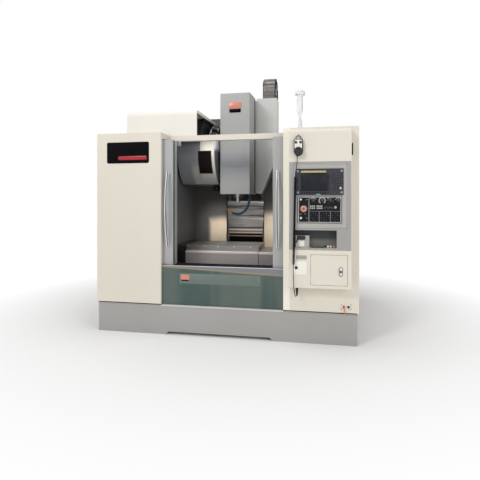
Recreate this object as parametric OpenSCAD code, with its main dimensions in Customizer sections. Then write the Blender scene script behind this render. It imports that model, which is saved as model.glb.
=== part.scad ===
// Vertical machining centre with a splash enclosure, a disc tool magazine and a front console.
// Z is up, X runs to the right seen from the front, and Y runs into the machine.
// Depths are counted from the face of the enclosure, heights from the floor.

/* [Overall] */
// Width of the enclosure
machine_w = 2640; // [2560:20:2800]
// Depth from the pendant's crank to the back of the electrical cabinet
machine_d = 2500; // [2480:10:2700]
// Height of the enclosure's top edge
enclosure_h = 2045; // [2045:5:2100]
// Thickness of the enclosure's sheet
sheet = 5; // [3:1:6]

/* [Chip tray] */
// Distance by which the enclosure overhangs the tray on each side
tray_inset = 16; // [12:1:40]
// Depth of the tray
tray_d = 2080; // [2050:10:2150]
// Height of the tray
tray_h = 298; // [280:2:310]
// Height of the tray's floor above the ground
tray_floor = 34; // [31:1:50]
// Width of the cut-out at the bottom of the front
cutout_w = 1088; // [900:10:1200]
// Height of that cut-out
cutout_h = 30; // [20:1:30]

/* [Front opening and doors] */
// Width of the opening between the front boxes
opening_w = 1236; // [1200:4:1260]
// Height of the sill
sill_h = 695; // [660:5:710]
// Height of the doors' top edge
door_top = 1974; // [1900:2:1976]
// Width of one door leaf
door_leaf_w = 661; // [640:1:680]
// Width of an open door leaf that shows in the opening
door_show = 106; // [98:1:106]
// Depth of the door's leading stile
stile_d = 130; // [100:5:135]
// Depth of the front boxes that take the open doors
box_d = 250; // [240:5:260]

/* [Table and saddle] */
// Length of the table
table_l = 840; // [700:10:900]
// Width of the table
table_w = 500; // [440:10:500]
// Height of the table's top
table_h = 840; // [830:1:845]
// Thickness of the table
table_t = 88; // [70:1:90]
// Number of slots in the table
slot_count = 5; // [3:2:5]
// Width of a slot
slot_w = 18; // [12:1:22]

/* [Spindle head] */
// Width of the head's cover
head_w = 344; // [320:2:360]
// Depth of the head's cover
head_d = 431; // [420:1:431]
// Height of the bottom of the head's cover
head_low = 1426; // [1420:1:1440]
// Height of the cover itself
head_h = 1170; // [1100:10:1190]
// Distance of the spindle's axis from the face of the enclosure
spindle_y = 890; // [880:1:900]
// Radius of the spindle's nose
nose_r = 32; // [28:1:40]

/* [Column way cover] */
// Width of the topmost plate
way_w = 480; // [460:2:484]
// Height of one sliding plate
way_h = 240; // [225:1:250]
// Height by which two plates overlap at rest
way_lap = 83; // [75:1:90]
// Step from one plate to the next
way_step = 9; // [7:1:10]

/* [Tool magazine] */
// Radius of the drum
drum_r = 470; // [450:5:480]
// Height of the disc's axis
disc_z = 1935; // [1930:1:1940]
// Number of places for tool pots
pot_count = 20; // [12:2:22]
// Radius of a tool pot
pot_r = 36; // [30:1:40]

/* [Energy chain] */
// Width of the chain
chain_w = 162; // [120:2:166]
// Thickness of the chain
chain_t = 55; // [40:1:60]
// Radius of its bend
chain_r = 150; // [140:1:152]

/* [Console] */
// Width of the console
console_w = 567; // [560:1:580]
// Distance by which the console stands in front of the enclosure
console_proud = 110; // [100:1:130]
// Height of the console's lower edge
console_low = 546; // [530:1:550]
// Depth of the hand pendant
pendant_d = 46; // [40:1:50]
// Radius of the pendant's handwheel
wheel_r = 38; // [30:1:40]
// Diameter of the pendant's cord
cord_d = 7; // [6:1:9]
// Outer diameter of its curly stretch
curl_d = 24; // [18:1:26]

/* [Hidden] */
$fn = 48;

// Running clearance between pieces that slide or turn on each other
gap = 0.3;
// Overlap of a cutting body past the face that it cuts
over = 1;

// Parts of the pendant that stand in front of the console
wheel_t = 16;
crank_l = 22;
front_y = -machine_d / 2 + console_proud + pendant_d + gap + wheel_t + crank_l;
back_y = machine_d / 2;
half_w = machine_w / 2;
half_open = opening_w / 2;
door_open = half_open - door_show;
tray_w = machine_w - 2 * tray_inset;

tray_front = front_y + 6;
tray_t = 5;
flange_w = 40;
flange_t = 4;
bead_r = 6;
foot_x = 430;
foot_ys = [front_y + 330, front_y + 1080, front_y + 1850];
foot_pad_r = 55;
foot_pad_h = 18;

bed_low = 60;
bed_top = 500;
bed_w = 800;
bed_y0 = front_y + box_d;
column_y0 = front_y + 1480;
column_y1 = front_y + 1990;
column_top_w = 480;
column_foot_w = 720;
column_h = 2480;
rail_w = 35;
rail_t = 36;
y_rail_x = 280;
z_rail_x = 140;
z_rail_z0 = bed_top + 120;

base_rail_h = 42;
roof_d = 1480;
back_panel_y = front_y + 1750;
back_panel_x = 420;
inner_x = 690;
inner_low = 900;
rear_wall_y = front_y + 1398;
rear_wall_low = 620;
throat_w = 500;
lintel_low = 1985;
lintel_h = 57;
lintel_d = 60;
slot_y = 24;
hanger_slot = 18;

door_y = front_y + 58;
leaf_t = 40;
stile_w = 63;
glass_t = 6;
window_w = 420;
window_h = 700;
window_z = 1150;
window_in = 120;
handle_x = door_open + 49;
handle_low = 880;
handle_l = 777;
handle_out = 72;
handle_foot = 18;
handle_r = 15;
hanger_w = 60;
hanger_y = front_y + box_d + slot_y + 3;

apron_y = front_y + 28;
apron_t = 4;
sill_d = 187;

table_x = -127;
table_y = 850;
saddle_low = bed_top + 60;
saddle_top = saddle_low + 80;
saddle_l = 1040;
saddle_w = 380;
x_rail_t = 28;
x_rail_off = 140;
shoe_l = 110;
shoe_w = 84;
table_yc = front_y + table_y;
table_low = table_h - table_t;
skirt_low = 636;
ledge_z = table_h - 64;
ledge_out = 26;
wing_l = 440;
wing_t = 5;
wing_drop = 61;

head_y0 = front_y + 715;
head_y1 = head_y0 + head_d;
spindle_yc = front_y + spindle_y;
slide_y0 = front_y + 1388;
slide_y1 = column_y0 - rail_t - 4;
slide_low = 1345;
slide_h = 900;
slide_w = 372;
neck_w = 300;
neck_low = 1480;
neck_top = 2150;
nose_top = 1400;
nose_low = 1336;
quill_r = 58;
cover_t = 4;
way_ridges = 4;
hatch_w = 218;
hatch_h = 292;
hatch_z = 1748;

guard_x0 = 190;
guard_x1 = 440;
guard_y0 = front_y + 1150;
guard_low = 1437;
guard_top = 2620;
guard_slant_z = 1890;
guard_slant_x = 257;

chain_x = 255;
chain_zc = 2740;
chain_yc = front_y + 1380;
chain_leg = 395;
leg_links = 7;
bend_links = 8;
channel_low = 1700;
channel_top = 2450;
channel_t = 4;

drum_yc = front_y + 1070;
drum_y1 = rear_wall_y + 60;
drum_low = 1545;
drum_high = 2310;
drum_x0 = -655;
drum_x1 = -383;
drum_x2 = -195;
drum_t = 6;
drum_edge = 26;
cover_top = 2044;
pane_x0 = -407;
pane_x1 = -250;
pane_z0 = 1668;
pane_z1 = 1915;
pane_lap = 8;
axle_r = 40;
disc_x = -330;
disc_t = 20;
pot_pitch_r = 325;
pot_l = 105;
changing_x = -307;
bracket_top = 2455;

hood_x0 = -1129;
hood_x1 = -332;
hood_y0 = front_y + 300;
hood_d = 1166;
hood_h = 282;
hood_round = 45;
hood_rim = 12;

console_x = 678;
console_y = front_y - console_proud;
console_top = 1987;
console_back_top = 2030;
panel_x0 = console_x + 5;
panel_w = 558;
panel_low = 897;
panel_h = 813;
panel_in = 10;
shelf_x = 718;
shelf_w = 397;
shelf_z = 913;
shelf_h = 167;
shelf_d = 92;
frame_x = 727;
frame_z = 1100;
frame_w = 481;
frame_h = 591;
frame_edge = 8;
frame_out = 4;
unit_x = 746;
unit_z = 1403;
unit_w = 427;
unit_h = 241;
unit_t = 10;
lcd_x = 796;
lcd_z = 1444;
lcd_w = 222;
lcd_h = 158;
pad_x = 760;
pad_z = 1145;
pad_w = 399;
pad_h = 249;
pad_t = 6;
locker_x = 878;
locker_z = 576;
locker_w = 332;
locker_h = 281;
locker_d = 95;
leaf_gap = 2.5;
latch_x = 1149;
latch_z = 705;
knob_z = 1353;
knob_r = 17;
knob_l = 20;
stop_x = 817;
stop_z = 1277;
stop_r = 26;
stop_stem_r = 9;
stop_collar = 8;
pendant_x = 769;
pendant_w = 84;
pendant_z = 1764;
pendant_h = 181;
selector_z = pendant_z + 122;
selector_dx = 22;
selector_r = 11;
wheel_z = pendant_z + 40;
gland_r = 11;
gland_h = 52;
gland_y = console_y + 50;
lamp_x = 775;
lamp_y = front_y + 60;

cabinet_w = 840;
cabinet_low = 420;
cabinet_h = 1680;
cabinet_t = 4;
cabinet_door_t = 20;
cabinet_y1 = back_y - cabinet_door_t - gap;
hinge_r = 6.2;

// Route of the cord from the pendant down to its curly stretch
cord_upper = [
    [758, console_y - 23, 1764], [758, console_y - 24, 1740], [757, console_y - 26, 1710],
    [755, console_y - 28, 1680], [752, console_y - 30, 1650], [747, console_y - 30, 1620],
    [742.5, console_y - 30, 1600], [742, console_y - 30, 1578]
];
// Route from the curly stretch round the bottom loop and up into the gland
cord_lower = [
    [724, console_y - 30, 759], [723.5, console_y - 30, 736], [723.5, console_y - 30, 700],
    [723.5, console_y - 30, 660], [724, console_y - 29, 620], [725.5, console_y - 26, console_low + 34],
    [728.5, console_y - 19, console_low - 6], [732, console_y - 8, console_low - 42],
    [736, console_y + 6, console_low - 70], [740, console_y + 22, console_low - 84],
    [745, console_y + 37, console_low - 84], [749, console_y + 47, console_low - 73],
    [752, console_y + 50, console_low - 60], [752, console_y + 50, console_low - gland_h]
];

// Corner of a ring of a swept tube, from the direction that the tube runs in there
function unit(v) = v / norm(v);
function tangent(p, i) = unit(p[min(i + 1, len(p) - 1)] - p[max(i - 1, 0)]);
function ring(p, i, r, n) =
    let (t = tangent(p, i), a = unit(cross(t, [0.3, 1, 0.1])), b = cross(t, a))
    [for (k = [0 : n - 1]) p[i] + r * (cos(k * 360 / n) * a + sin(k * 360 / n) * b)];

module tube_along(p, r, n) {
    points = [for (i = [0 : len(p) - 1]) each ring(p, i, r, n)];
    last = (len(p) - 1) * n;
    sides = [
        for (i = [0 : len(p) - 2]) for (k = [0 : n - 1])
        [i * n + k, i * n + (k + 1) % n, (i + 1) * n + (k + 1) % n, (i + 1) * n + k]
    ];
    caps = [[for (k = [0 : n - 1]) n - 1 - k], [for (k = [0 : n - 1]) last + k]];
    polyhedron(points, concat(sides, caps));
}

// Box given by its lowest and highest corners
module block(lo, hi) {
    translate(lo) cube(hi - lo);
}

// Box with a hole right through it in X and Z, both given by their corners
module ring_block(lo, hi, hole_lo, hole_hi) {
    difference() {
        block(lo, hi);
        block([hole_lo[0], lo[1] - over, hole_lo[1]], [hole_hi[0], hi[1] + over, hole_hi[1]]);
    }
}

// Outline in Y and Z made solid along X
module along_x(x0, x1) {
    translate([x0, 0, 0]) rotate([90, 0, 90]) linear_extrude(x1 - x0) children();
}

// Outline in X and Z made solid along Y
module along_y(y0, y1) {
    translate([0, y1, 0]) rotate([90, 0, 0]) linear_extrude(y1 - y0) children();
}

module x_rod(x0, x1, y, z, r) {
    translate([x0, y, z]) rotate([0, 90, 0]) cylinder(h = x1 - x0, r = r);
}

module y_rod(x, y0, y1, z, r) {
    translate([x, y0, z]) rotate([-90, 0, 0]) cylinder(h = y1 - y0, r = r);
}

module z_rod(x, y, z0, z1, r) {
    translate([x, y, z0]) cylinder(h = z1 - z0, r = r);
}

module chip_tray() {
    x1 = tray_w / 2;
    y0 = tray_front;
    y1 = tray_front + tray_d;
    edge = cutout_w / 2;
    color("#9a9996") {
        difference() {
            union() {
                block([-x1, y0, 0], [x1, y1, tray_h]);
                for (y = [y0, y1]) x_rod(-x1, x1, y, tray_h - bead_r, bead_r);
                for (x = [-x1, x1]) y_rod(x, y0, y1, tray_h - bead_r, bead_r);
                for (x = [-x1, x1], y = [y0, y1]) translate([x, y, tray_h - bead_r]) sphere(bead_r);
            }
            block([-x1 + flange_w, y0 + flange_w, tray_floor + tray_t], [x1 - flange_w, y1 - flange_w, tray_h + over]);
            block([-x1 + tray_t, y0 + tray_t, tray_floor + tray_t], [x1 - tray_t, y1 - tray_t, tray_h - flange_t]);
            block([-x1 + tray_t, y0 + tray_t, -over], [x1 - tray_t, y1 - tray_t, tray_floor]);
            along_y(y0 - over, y0 + tray_t + over)
                polygon([[-edge - 25, -over], [-edge + 7, cutout_h], [edge - 57, cutout_h], [edge - 25, -over]]);
            for (x = [-foot_x, foot_x], y = foot_ys) z_rod(x, y, 0, tray_floor + tray_t + over, foot_pad_r + 15);
        }
    }
}

module levelling_feet() {
    color("#6f7377") {
        for (x = [-foot_x, foot_x], y = foot_ys) translate([x, y, 0]) {
            rotate_extrude() polygon([
                [0, 0], [foot_pad_r, 0], [foot_pad_r, foot_pad_h - 6], [foot_pad_r - 12, foot_pad_h],
                [30, foot_pad_h], [30, bed_low - 14], [12, bed_low - 14], [12, bed_low], [0, bed_low]
            ]);
        }
    }
}

module bed() {
    half = bed_w / 2;
    wide = foot_x + 50;
    color("#7f8786") {
        difference() {
            along_y(bed_y0, column_y1) polygon([
                [-wide, bed_low], [wide, bed_low], [wide, bed_low + 50], [half, bed_low + 90],
                [half, bed_top], [-half, bed_top], [-half, bed_low + 90], [-wide, bed_low + 50]
            ]);
            for (s = [-1, 1], i = [0 : 4]) {
                translate([s * half, bed_y0 + 180 + i * 330, (bed_low + bed_top) / 2 + 40])
                    cube([180, 250, 240], center = true);
            }
            block([-y_rail_x + 90, bed_y0 - over, bed_top - 60], [y_rail_x - 90, column_y0 - 60, bed_top + over]);
        }
    }
}

module column() {
    top = column_top_w / 2;
    foot = column_foot_w / 2;
    color("#7f8786") {
        difference() {
            along_y(column_y0, column_y1) polygon([
                [-foot, bed_top], [foot, bed_top], [foot, 900], [top, 1600], [top, column_h],
                [-top, column_h], [-top, 1600], [-foot, 900]
            ]);
            block([-110, column_y0 - over, 700], [110, column_y0 + 140, column_h - 120]);
            for (z = [760 : 420 : 2020]) {
                block([-150, column_y1 - 90, z], [150, column_y1 + over, z + 330]);
            }
        }
    }
}

module guide_rails() {
    color("#c9ccce") {
        for (s = [-1, 1]) {
            block([s * y_rail_x - rail_w / 2, bed_y0 + 50, bed_top], [s * y_rail_x + rail_w / 2, rear_wall_y - 8, bed_top + rail_t]);
            block([s * z_rail_x - rail_w / 2, column_y0 - rail_t, z_rail_z0], [s * z_rail_x + rail_w / 2, column_y0, column_h - 40]);
        }
    }
}

// One side of the enclosure, seen from its own outer edge; s is -1 on the left and 1 on the right
module enclosure_side(s) {
    front_low = tray_h + 8;
    mirror([s < 0 ? 1 : 0, 0, 0]) {
        block([half_open, front_y, front_low], [half_w, front_y + sheet, enclosure_h]);
        block([half_w - sheet, front_y, front_low], [half_w, back_panel_y, enclosure_h]);
        block([half_open, front_y, enclosure_h - sheet], [half_w, front_y + box_d, enclosure_h]);
        block([inner_x - 3, front_y + box_d, enclosure_h - sheet], [half_w, front_y + roof_d, enclosure_h]);
        block([half_open, front_y, lintel_low], [half_open + sheet, front_y + box_d + lintel_d, enclosure_h]);
        block([half_open, front_y, front_low], [half_open + sheet, front_y + 45, enclosure_h]);
        block([back_panel_x, back_panel_y - sheet, front_low], [half_w, back_panel_y, enclosure_h]);
        block([half_open + sheet, front_y + sheet, tray_h], [half_w - sheet, front_y + 45, tray_h + base_rail_h]);
        block([half_w - 60, front_y + sheet, tray_h], [half_w - sheet, back_panel_y, tray_h + base_rail_h]);
    }
}

module left_enclosure() {
    color("#ece7da") enclosure_side(-1);
}

module right_enclosure() {
    color("#ece7da") enclosure_side(1);
}

module inner_walls() {
    color("#4c4e50") {
        for (s = [-1, 1]) {
            translate([s * inner_x - 3, front_y + sill_d + 28, inner_low])
                cube([6, rear_wall_y - front_y - sill_d - 28, enclosure_h - sheet - inner_low]);
        }
    }
}

module rear_wall() {
    half = throat_w / 2;
    color("#d8ccb8") difference() {
        for (s = [-1, 1]) mirror([s < 0 ? 1 : 0, 0, 0]) {
            block([half, rear_wall_y, rear_wall_low], [inner_x + 3, rear_wall_y + sheet, enclosure_h - sheet]);
            block([half, rear_wall_y, rear_wall_low], [half + 3, column_y0, enclosure_h - sheet - 600]);
        }
        block([drum_x0 - 6, rear_wall_y - over, drum_low - 6], [-half + over, rear_wall_y + sheet + over, enclosure_h]);
    }
}

module door_lintel() {
    y0 = front_y + box_d;
    color("#ece7da") {
        difference() {
            block([-half_open, y0, lintel_low], [half_open, y0 + lintel_d, lintel_low + lintel_h]);
            block([-half_open - over, y0 + sheet, lintel_low + sheet], [half_open + over, y0 + lintel_d - sheet, lintel_low + lintel_h - sheet]);
            block([-half_open - over, y0 + slot_y, lintel_low - over], [half_open + over, y0 + slot_y + hanger_slot, lintel_low + sheet + over]);
        }
    }
}

module front_apron() {
    color("#8d9a98") {
        block([-half_open, apron_y, tray_h], [half_open, apron_y + apron_t, sill_h]);
        block([-half_open, apron_y, sill_h - apron_t], [half_open, apron_y + sill_d, sill_h]);
        block([-half_open, apron_y + sill_d - apron_t, sill_h - 135], [half_open, apron_y + sill_d, sill_h]);
    }
}

// Door leaf with its deep leading stile; the other door is its mirror image
module door_leaf() {
    x1 = -door_open;
    x0 = x1 - door_leaf_w;
    z0 = sill_h + gap;
    color("#a9aaa7") {
        difference() {
            union() {
                block([x0, door_y, z0], [x1, door_y + leaf_t, door_top]);
                block([x1 - stile_w, door_y, z0], [x1, door_y + stile_d, door_top]);
            }
            block([x0 + window_in, door_y - over, window_z], [x0 + window_in + window_w, door_y + leaf_t + over, window_z + window_h]);
            block([x1 - 5, door_y + 26, z0 - over], [x1 + over, door_y + 40, door_top + over]);
            block([x0 + 30, door_y + 4, z0 - over], [x1 - stile_w, door_y + 30, window_z - 60]);
        }
        block([x1 - stile_w, door_y + stile_d - 20, door_top], [x1 - stile_w + hanger_w, hanger_y + hanger_slot - 6, door_top + 5]);
        block([x1 - stile_w, hanger_y, door_top], [x1 - stile_w + hanger_w, hanger_y + hanger_slot - 6, lintel_low + 16]);
    }
}

// Pane in the leaf, held in a rebate by its edges
module door_pane() {
    x0 = -door_open - door_leaf_w + window_in;
    color("#31424a") block([x0, door_y + 14, window_z], [x0 + window_w, door_y + 14 + glass_t, window_z + window_h]);
}

// Bow handle on an arc, with a foot at each end
module bow_handle() {
    half = handle_l / 2 - handle_r;
    sag = handle_out - handle_foot;
    bow_r = (half * half + sag * sag) / (2 * sag);
    half_a = asin(half / bow_r);
    color("#dadddf") {
        translate([-handle_x, door_y + bow_r - handle_out, handle_low + handle_l / 2]) {
            rotate([0, -90, 0]) rotate([0, 0, -90 - half_a])
                rotate_extrude(angle = 2 * half_a, $fn = 160) translate([bow_r, 0]) circle(handle_r);
        }
        for (z = [handle_low + handle_r + 14, handle_low + handle_l - handle_r - 14]) {
            y_rod(-handle_x, door_y - handle_foot, door_y, z, handle_r - 4);
        }
    }
}

module left_door() {
    door_leaf();
}

module right_door() {
    mirror([1, 0, 0]) door_leaf();
}

module left_door_glass() {
    door_pane();
}

module right_door_glass() {
    mirror([1, 0, 0]) door_pane();
}

module left_door_handle() {
    bow_handle();
}

module right_door_handle() {
    mirror([1, 0, 0]) bow_handle();
}

// Recirculating shoe that straddles a rail running along Y, with its top at z1
module y_shoe(x, y, z1) {
    difference() {
        block([x - shoe_w / 2, y - shoe_l / 2, bed_top + 6], [x + shoe_w / 2, y + shoe_l / 2, z1]);
        block([x - rail_w / 2 - gap, y - shoe_l, bed_top - over], [x + rail_w / 2 + gap, y + shoe_l, bed_top + rail_t + gap]);
    }
}

module saddle() {
    y = table_yc;
    color("#7f8786") {
        block([-saddle_l / 2, y - saddle_w / 2, saddle_low], [saddle_l / 2, y + saddle_w / 2, saddle_top]);
        for (x = [-y_rail_x, y_rail_x], dy = [-120, 120]) y_shoe(x, y + dy, saddle_low);
        for (dy = [-x_rail_off, x_rail_off]) {
            block([-saddle_l / 2, y + dy - 14, saddle_top], [saddle_l / 2, y + dy + 14, saddle_top + x_rail_t]);
        }
    }
}

module table() {
    x0 = table_x - table_l / 2;
    y = table_yc;
    pitch = table_w / slot_count;
    color("#8b8d8f") {
        difference() {
            block([x0, y - table_w / 2, table_low], [x0 + table_l, y + table_w / 2, table_h]);
            for (i = [0 : slot_count - 1]) translate([x0, y - table_w / 2 + pitch * (i + 0.5), 0]) {
                block([-over, -slot_w / 2, table_h - 30], [table_l + over, slot_w / 2, table_h + over]);
                block([-over, -slot_w * 0.85, table_h - 30], [table_l + over, slot_w * 0.85, table_h - 17]);
            }
        }
        for (dx = [-190, 190], dy = [-x_rail_off, x_rail_off]) difference() {
            block([table_x + dx - 55, y + dy - 38, saddle_top + 6], [table_x + dx + 55, y + dy + 38, table_low]);
            block([table_x + dx - 60, y + dy - 14 - gap, saddle_top], [table_x + dx + 60, y + dy + 14 + gap, saddle_top + x_rail_t + gap]);
        }
    }
}

module table_apron() {
    x0 = table_x - table_l / 2;
    y0 = table_yc - table_w / 2;
    color("#8f8b88") {
        block([x0, y0 - ledge_out, ledge_z - wing_t], [x0 + table_l, y0, ledge_z + 3]);
        block([x0, y0 - ledge_out, skirt_low], [x0 + table_l, y0 - ledge_out + wing_t, ledge_z]);
    }
}

module table_wings() {
    y0 = table_yc - table_w / 2;
    y1 = table_yc + table_w / 2;
    z1 = table_h - wing_drop;
    for (s = [-1, 1]) {
        near = table_x + s * table_l / 2;
        far = near + s * wing_l;
        a = min(near, far);
        b = max(near, far);
        color(s > 0 ? "#8f8b88" : "#1d1e20") difference() {
            block([a, y0 - ledge_out, skirt_low], [b, y1, z1]);
            block([a - over, y0 - ledge_out + wing_t, skirt_low - over], [b + over, y1 - wing_t, z1 - wing_t]);
        }
    }
}

module spindle_head() {
    motor_top = head_low + head_h - 70;
    color("#7f8786") {
        difference() {
            union() {
                block([-slide_w / 2, slide_y0, slide_low], [slide_w / 2, slide_y1, slide_low + slide_h]);
                along_x(-neck_w / 2, neck_w / 2) polygon([
                    [spindle_yc - 110, neck_low + 60], [spindle_yc - 60, neck_low], [spindle_yc + 120, neck_low],
                    [slide_y0, neck_low + 90], [slide_y0, neck_top], [spindle_yc - 110, neck_top]
                ]);
                for (x = [-z_rail_x, z_rail_x], z = [slide_low + 70, slide_low + slide_h - 190]) {
                    block([x - shoe_w / 2, slide_y1 - over, z], [x + shoe_w / 2, column_y0 - 6, z + 120]);
                }
            }
            for (x = [-z_rail_x, z_rail_x]) {
                block([x - rail_w / 2 - gap, column_y0 - rail_t - gap, slide_low - over], [x + rail_w / 2 + gap, column_y0 + over, slide_low + slide_h + over]);
            }
            z_rod(0, spindle_yc, neck_low - over, neck_top - 200, 46);
        }
        difference() {
            z_rod(0, spindle_yc, nose_top + 6, neck_low, quill_r);
            z_rod(0, spindle_yc, nose_top, neck_low + over, 46);
        }
        block([-95, spindle_yc - 95, neck_top], [95, spindle_yc + 95, motor_top - 60]);
        z_rod(0, spindle_yc, motor_top - 60, motor_top, 80);
    }
}

module head_cover() {
    x1 = head_w / 2;
    top = head_low + head_h;
    color("#8e8f8d") {
        difference() {
            along_x(-x1, x1) polygon([
                [head_y0, head_low], [head_y1, head_low], [head_y1, top + 22], [head_y0 + 30, top], [head_y0, top - 6]
            ]);
            block([-x1 + cover_t, head_y0 + cover_t, head_low - over], [x1 - cover_t, head_y1 + over, top - 10]);
        }
        block([-hatch_w / 2, head_y0 - 2, hatch_z], [hatch_w / 2, head_y0, hatch_z + hatch_h]);
        block([-x1, head_y0 - 3, head_low], [x1, head_y0, head_low + 14]);
        for (s = [-1, 1]) {
            block([min(s * neck_w / 2, s * (x1 - cover_t)), head_y0 + 120, 1700], [max(s * neck_w / 2, s * (x1 - cover_t)), head_y0 + 300, 1740]);
        }
    }
}

module chain_guard() {
    t = cover_t;
    outline = [
        [guard_x0, guard_low], [guard_slant_x, guard_low], [guard_x1, guard_slant_z],
        [guard_x1, guard_top], [guard_x0, guard_top]
    ];
    inside = [
        [guard_x0 + t, guard_low + t], [guard_slant_x - t, guard_low + t], [guard_x1 - t, guard_slant_z + t],
        [guard_x1 - t, guard_top + over], [guard_x0 + t, guard_top + over]
    ];
    color("#8e8f8d") {
        difference() {
            along_y(guard_y0, slide_y0) polygon(outline);
            along_y(guard_y0 + t, slide_y0 - t) polygon(inside);
        }
        for (z = [1600, 2050]) block([neck_w / 2, guard_y0 + 40, z], [guard_x0, guard_y0 + 200, z + 40]);
    }
}

// Ball-jointed coolant hose that holds the shape it is bent to
module coolant_hose() {
    hose = [
        [150, 860, 1470], [150, 858, 1400], [146, 856, 1345], [134, 854, 1300], [114, 852, 1258], [86, 850, 1222],
        [52, 849, 1200], [14, 848, 1192], [-26, 848, 1196], [-62, 848, 1208], [-92, 848, 1226], [-124, 848, 1250]
    ];
    links = len(hose) - 2;
    color("#27445c") for (i = [0 : links]) {
        a = hose[i] + [0, front_y, 0];
        b = hose[i + 1] + [0, front_y, 0];
        v = b - a;
        last = i == links;
        translate(a) rotate([0, acos(v[2] / norm(v)), atan2(v[1], v[0])])
            cylinder(h = norm(v) + (last ? 0 : 3), r1 = last ? 11 : 15, r2 = last ? 5 : 11, $fn = 24);
    }
    color("#27445c") block([132, front_y + 842, 1469], [165, front_y + 878, neck_low]);
}

module spindle() {
    color("#d3d6d8") translate([0, spindle_yc, 0]) difference() {
        rotate_extrude() polygon([
            [0, nose_low], [nose_r, nose_low], [nose_r, nose_top - 20], [44, nose_top - 14], [44, nose_top],
            [45.6, nose_top + 4], [45.6, neck_low + 300], [0, neck_low + 300]
        ]);
        translate([0, 0, nose_low - over]) cylinder(h = 58, r1 = 22, r2 = 14);
    }
}

// Outline of the drum, a circle cut flat below, above and behind; d is how far it lies inside
module drum_outline(d) {
    intersection() {
        translate([drum_yc, disc_z]) circle(r = drum_r - d, $fn = 120);
        translate([drum_yc - drum_r, drum_low + d])
            square([drum_y1 - drum_yc + drum_r - d, drum_high - drum_low - 2 * d]);
    }
}

module magazine_housing() {
    color("#6a6d6f") {
        along_x(drum_x0, drum_x1) drum_outline(0);
        x_rod(drum_x1, disc_x + disc_t + 12, drum_yc, disc_z, axle_r);
        x_rod(disc_x + disc_t + gap, disc_x + disc_t + 12, drum_yc, disc_z, axle_r + 14);
        block([drum_x0 + 35, drum_y1 - over, 1750], [-400, drum_y1 + 42, 2030]);
        block([-560, drum_y1 + 42, 1750], [-column_top_w / 2, drum_y1 + 240, bracket_top]);
    }
}

// Drum with a rounded rim at its right end, cut flat below, above and behind
module drum_shell(x0, x1, r, edge, low, high, back) {
    intersection() {
        translate([0, drum_yc, disc_z]) rotate([0, 90, 0]) rotate_extrude($fn = 120) polygon(concat(
            [[0, x0], [r, x0]],
            [for (a = [0 : 15 : 90]) [r - edge + edge * cos(a), x1 - edge + edge * sin(a)]],
            [[0, x1]]
        ));
        block([x0 - over, drum_yc - drum_r - over, low], [x1 + over, back, high]);
    }
}

module magazine_cover() {
    color("#ece7da") difference() {
        drum_shell(drum_x1, drum_x2, drum_r, drum_edge, drum_low, cover_top, drum_y1);
        drum_shell(drum_x1 - over, drum_x2 - drum_t, drum_r - drum_t, drum_edge - drum_t,
            drum_low + drum_t, cover_top + over, drum_y1 - drum_t);
        block([drum_x1 + pane_lap, front_y, pane_z0 + pane_lap], [pane_x1 - pane_lap, drum_yc - 200, pane_z1 - pane_lap]);
    }
}

module magazine_window() {
    pane_t = 3;
    color("#1c1210") intersection() {
        translate([pane_x0, drum_yc, disc_z]) rotate([0, 90, 0]) difference() {
            cylinder(h = pane_x1 - pane_x0, r = drum_r + gap + pane_t, $fn = 120);
            translate([0, 0, -over]) cylinder(h = pane_x1 - pane_x0 + 2 * over, r = drum_r + gap, $fn = 120);
        }
        block([pane_x0 - over, drum_yc - drum_r - 20, pane_z0], [pane_x1 + over, drum_yc - 200, pane_z1]);
    }
}

module magazine_disc() {
    color("#3b3d40") {
        difference() {
            x_rod(disc_x, disc_x + disc_t, drum_yc, disc_z, pot_pitch_r + 10);
            x_rod(disc_x - over, disc_x + disc_t + over, drum_yc, disc_z, axle_r + gap);
        }
        for (i = [1 : pot_count - 1]) translate([0, drum_yc, disc_z]) rotate([i * 360 / pot_count, 0, 0]) {
            x_rod(disc_x + disc_t - over, disc_x + disc_t + pot_l - 25, 0, -pot_pitch_r, pot_r);
            x_rod(disc_x + disc_t + pot_l - 26, disc_x + disc_t + pot_l - 12, 0, -pot_pitch_r, 22);
        }
    }
}

module changing_pot() {
    h = 72;
    color("#1b1c1e") translate([changing_x, drum_yc, drum_low - h]) rotate_extrude() polygon([
        [0, 0], [26, 0], [pot_r + 4, 12], [pot_r + 4, h - 22], [30, h - 16], [30, h], [0, h]
    ]);
}

module magazine_hood() {
    z0 = enclosure_h;
    module outline(d) {
        y0 = hood_y0 + d;
        y1 = hood_y0 + hood_d - d;
        z1 = z0 + hood_h - d;
        r = hood_round - d;
        polygon(concat(
            [[y1, z0 - (d > 0 ? over : 0)], [y1, z1]],
            [for (a = [90 : 10 : 180]) [y0 + r + r * cos(a), z1 - r + r * sin(a)]],
            [[y0, z0 - (d > 0 ? over : 0)]]
        ));
    }
    color("#ece7da") difference() {
        along_x(hood_x0, hood_x1) outline(0);
        along_x(hood_x0 + cover_t, hood_x1 - cover_t) outline(cover_t);
        along_x(hood_x0 + cover_t, hood_x1 + over) outline(cover_t + hood_rim);
    }
}

module chain_channel() {
    x0 = column_top_w / 2;
    x1 = chain_x + chain_w + gap + channel_t;
    yc = chain_yc + chain_r;
    half = chain_t / 2 + 8;
    color("#8e8f8d") difference() {
        block([x0, yc - half - channel_t, channel_low], [x1, yc + half + channel_t, channel_top]);
        block([x0 + channel_t, yc - half, channel_low - over], [x1 - channel_t, yc + half, channel_top + over]);
    }
}

// Two crossbars of a link lying along Z, with its lower pivot at the origin
module chain_bars(pitch) {
    r = chain_t / 2;
    for (y = [-r + 4, r - 10]) block([chain_x + 6, y, pitch * 0.25], [chain_x + chain_w - 6, y + 6, pitch * 0.75]);
}

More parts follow.
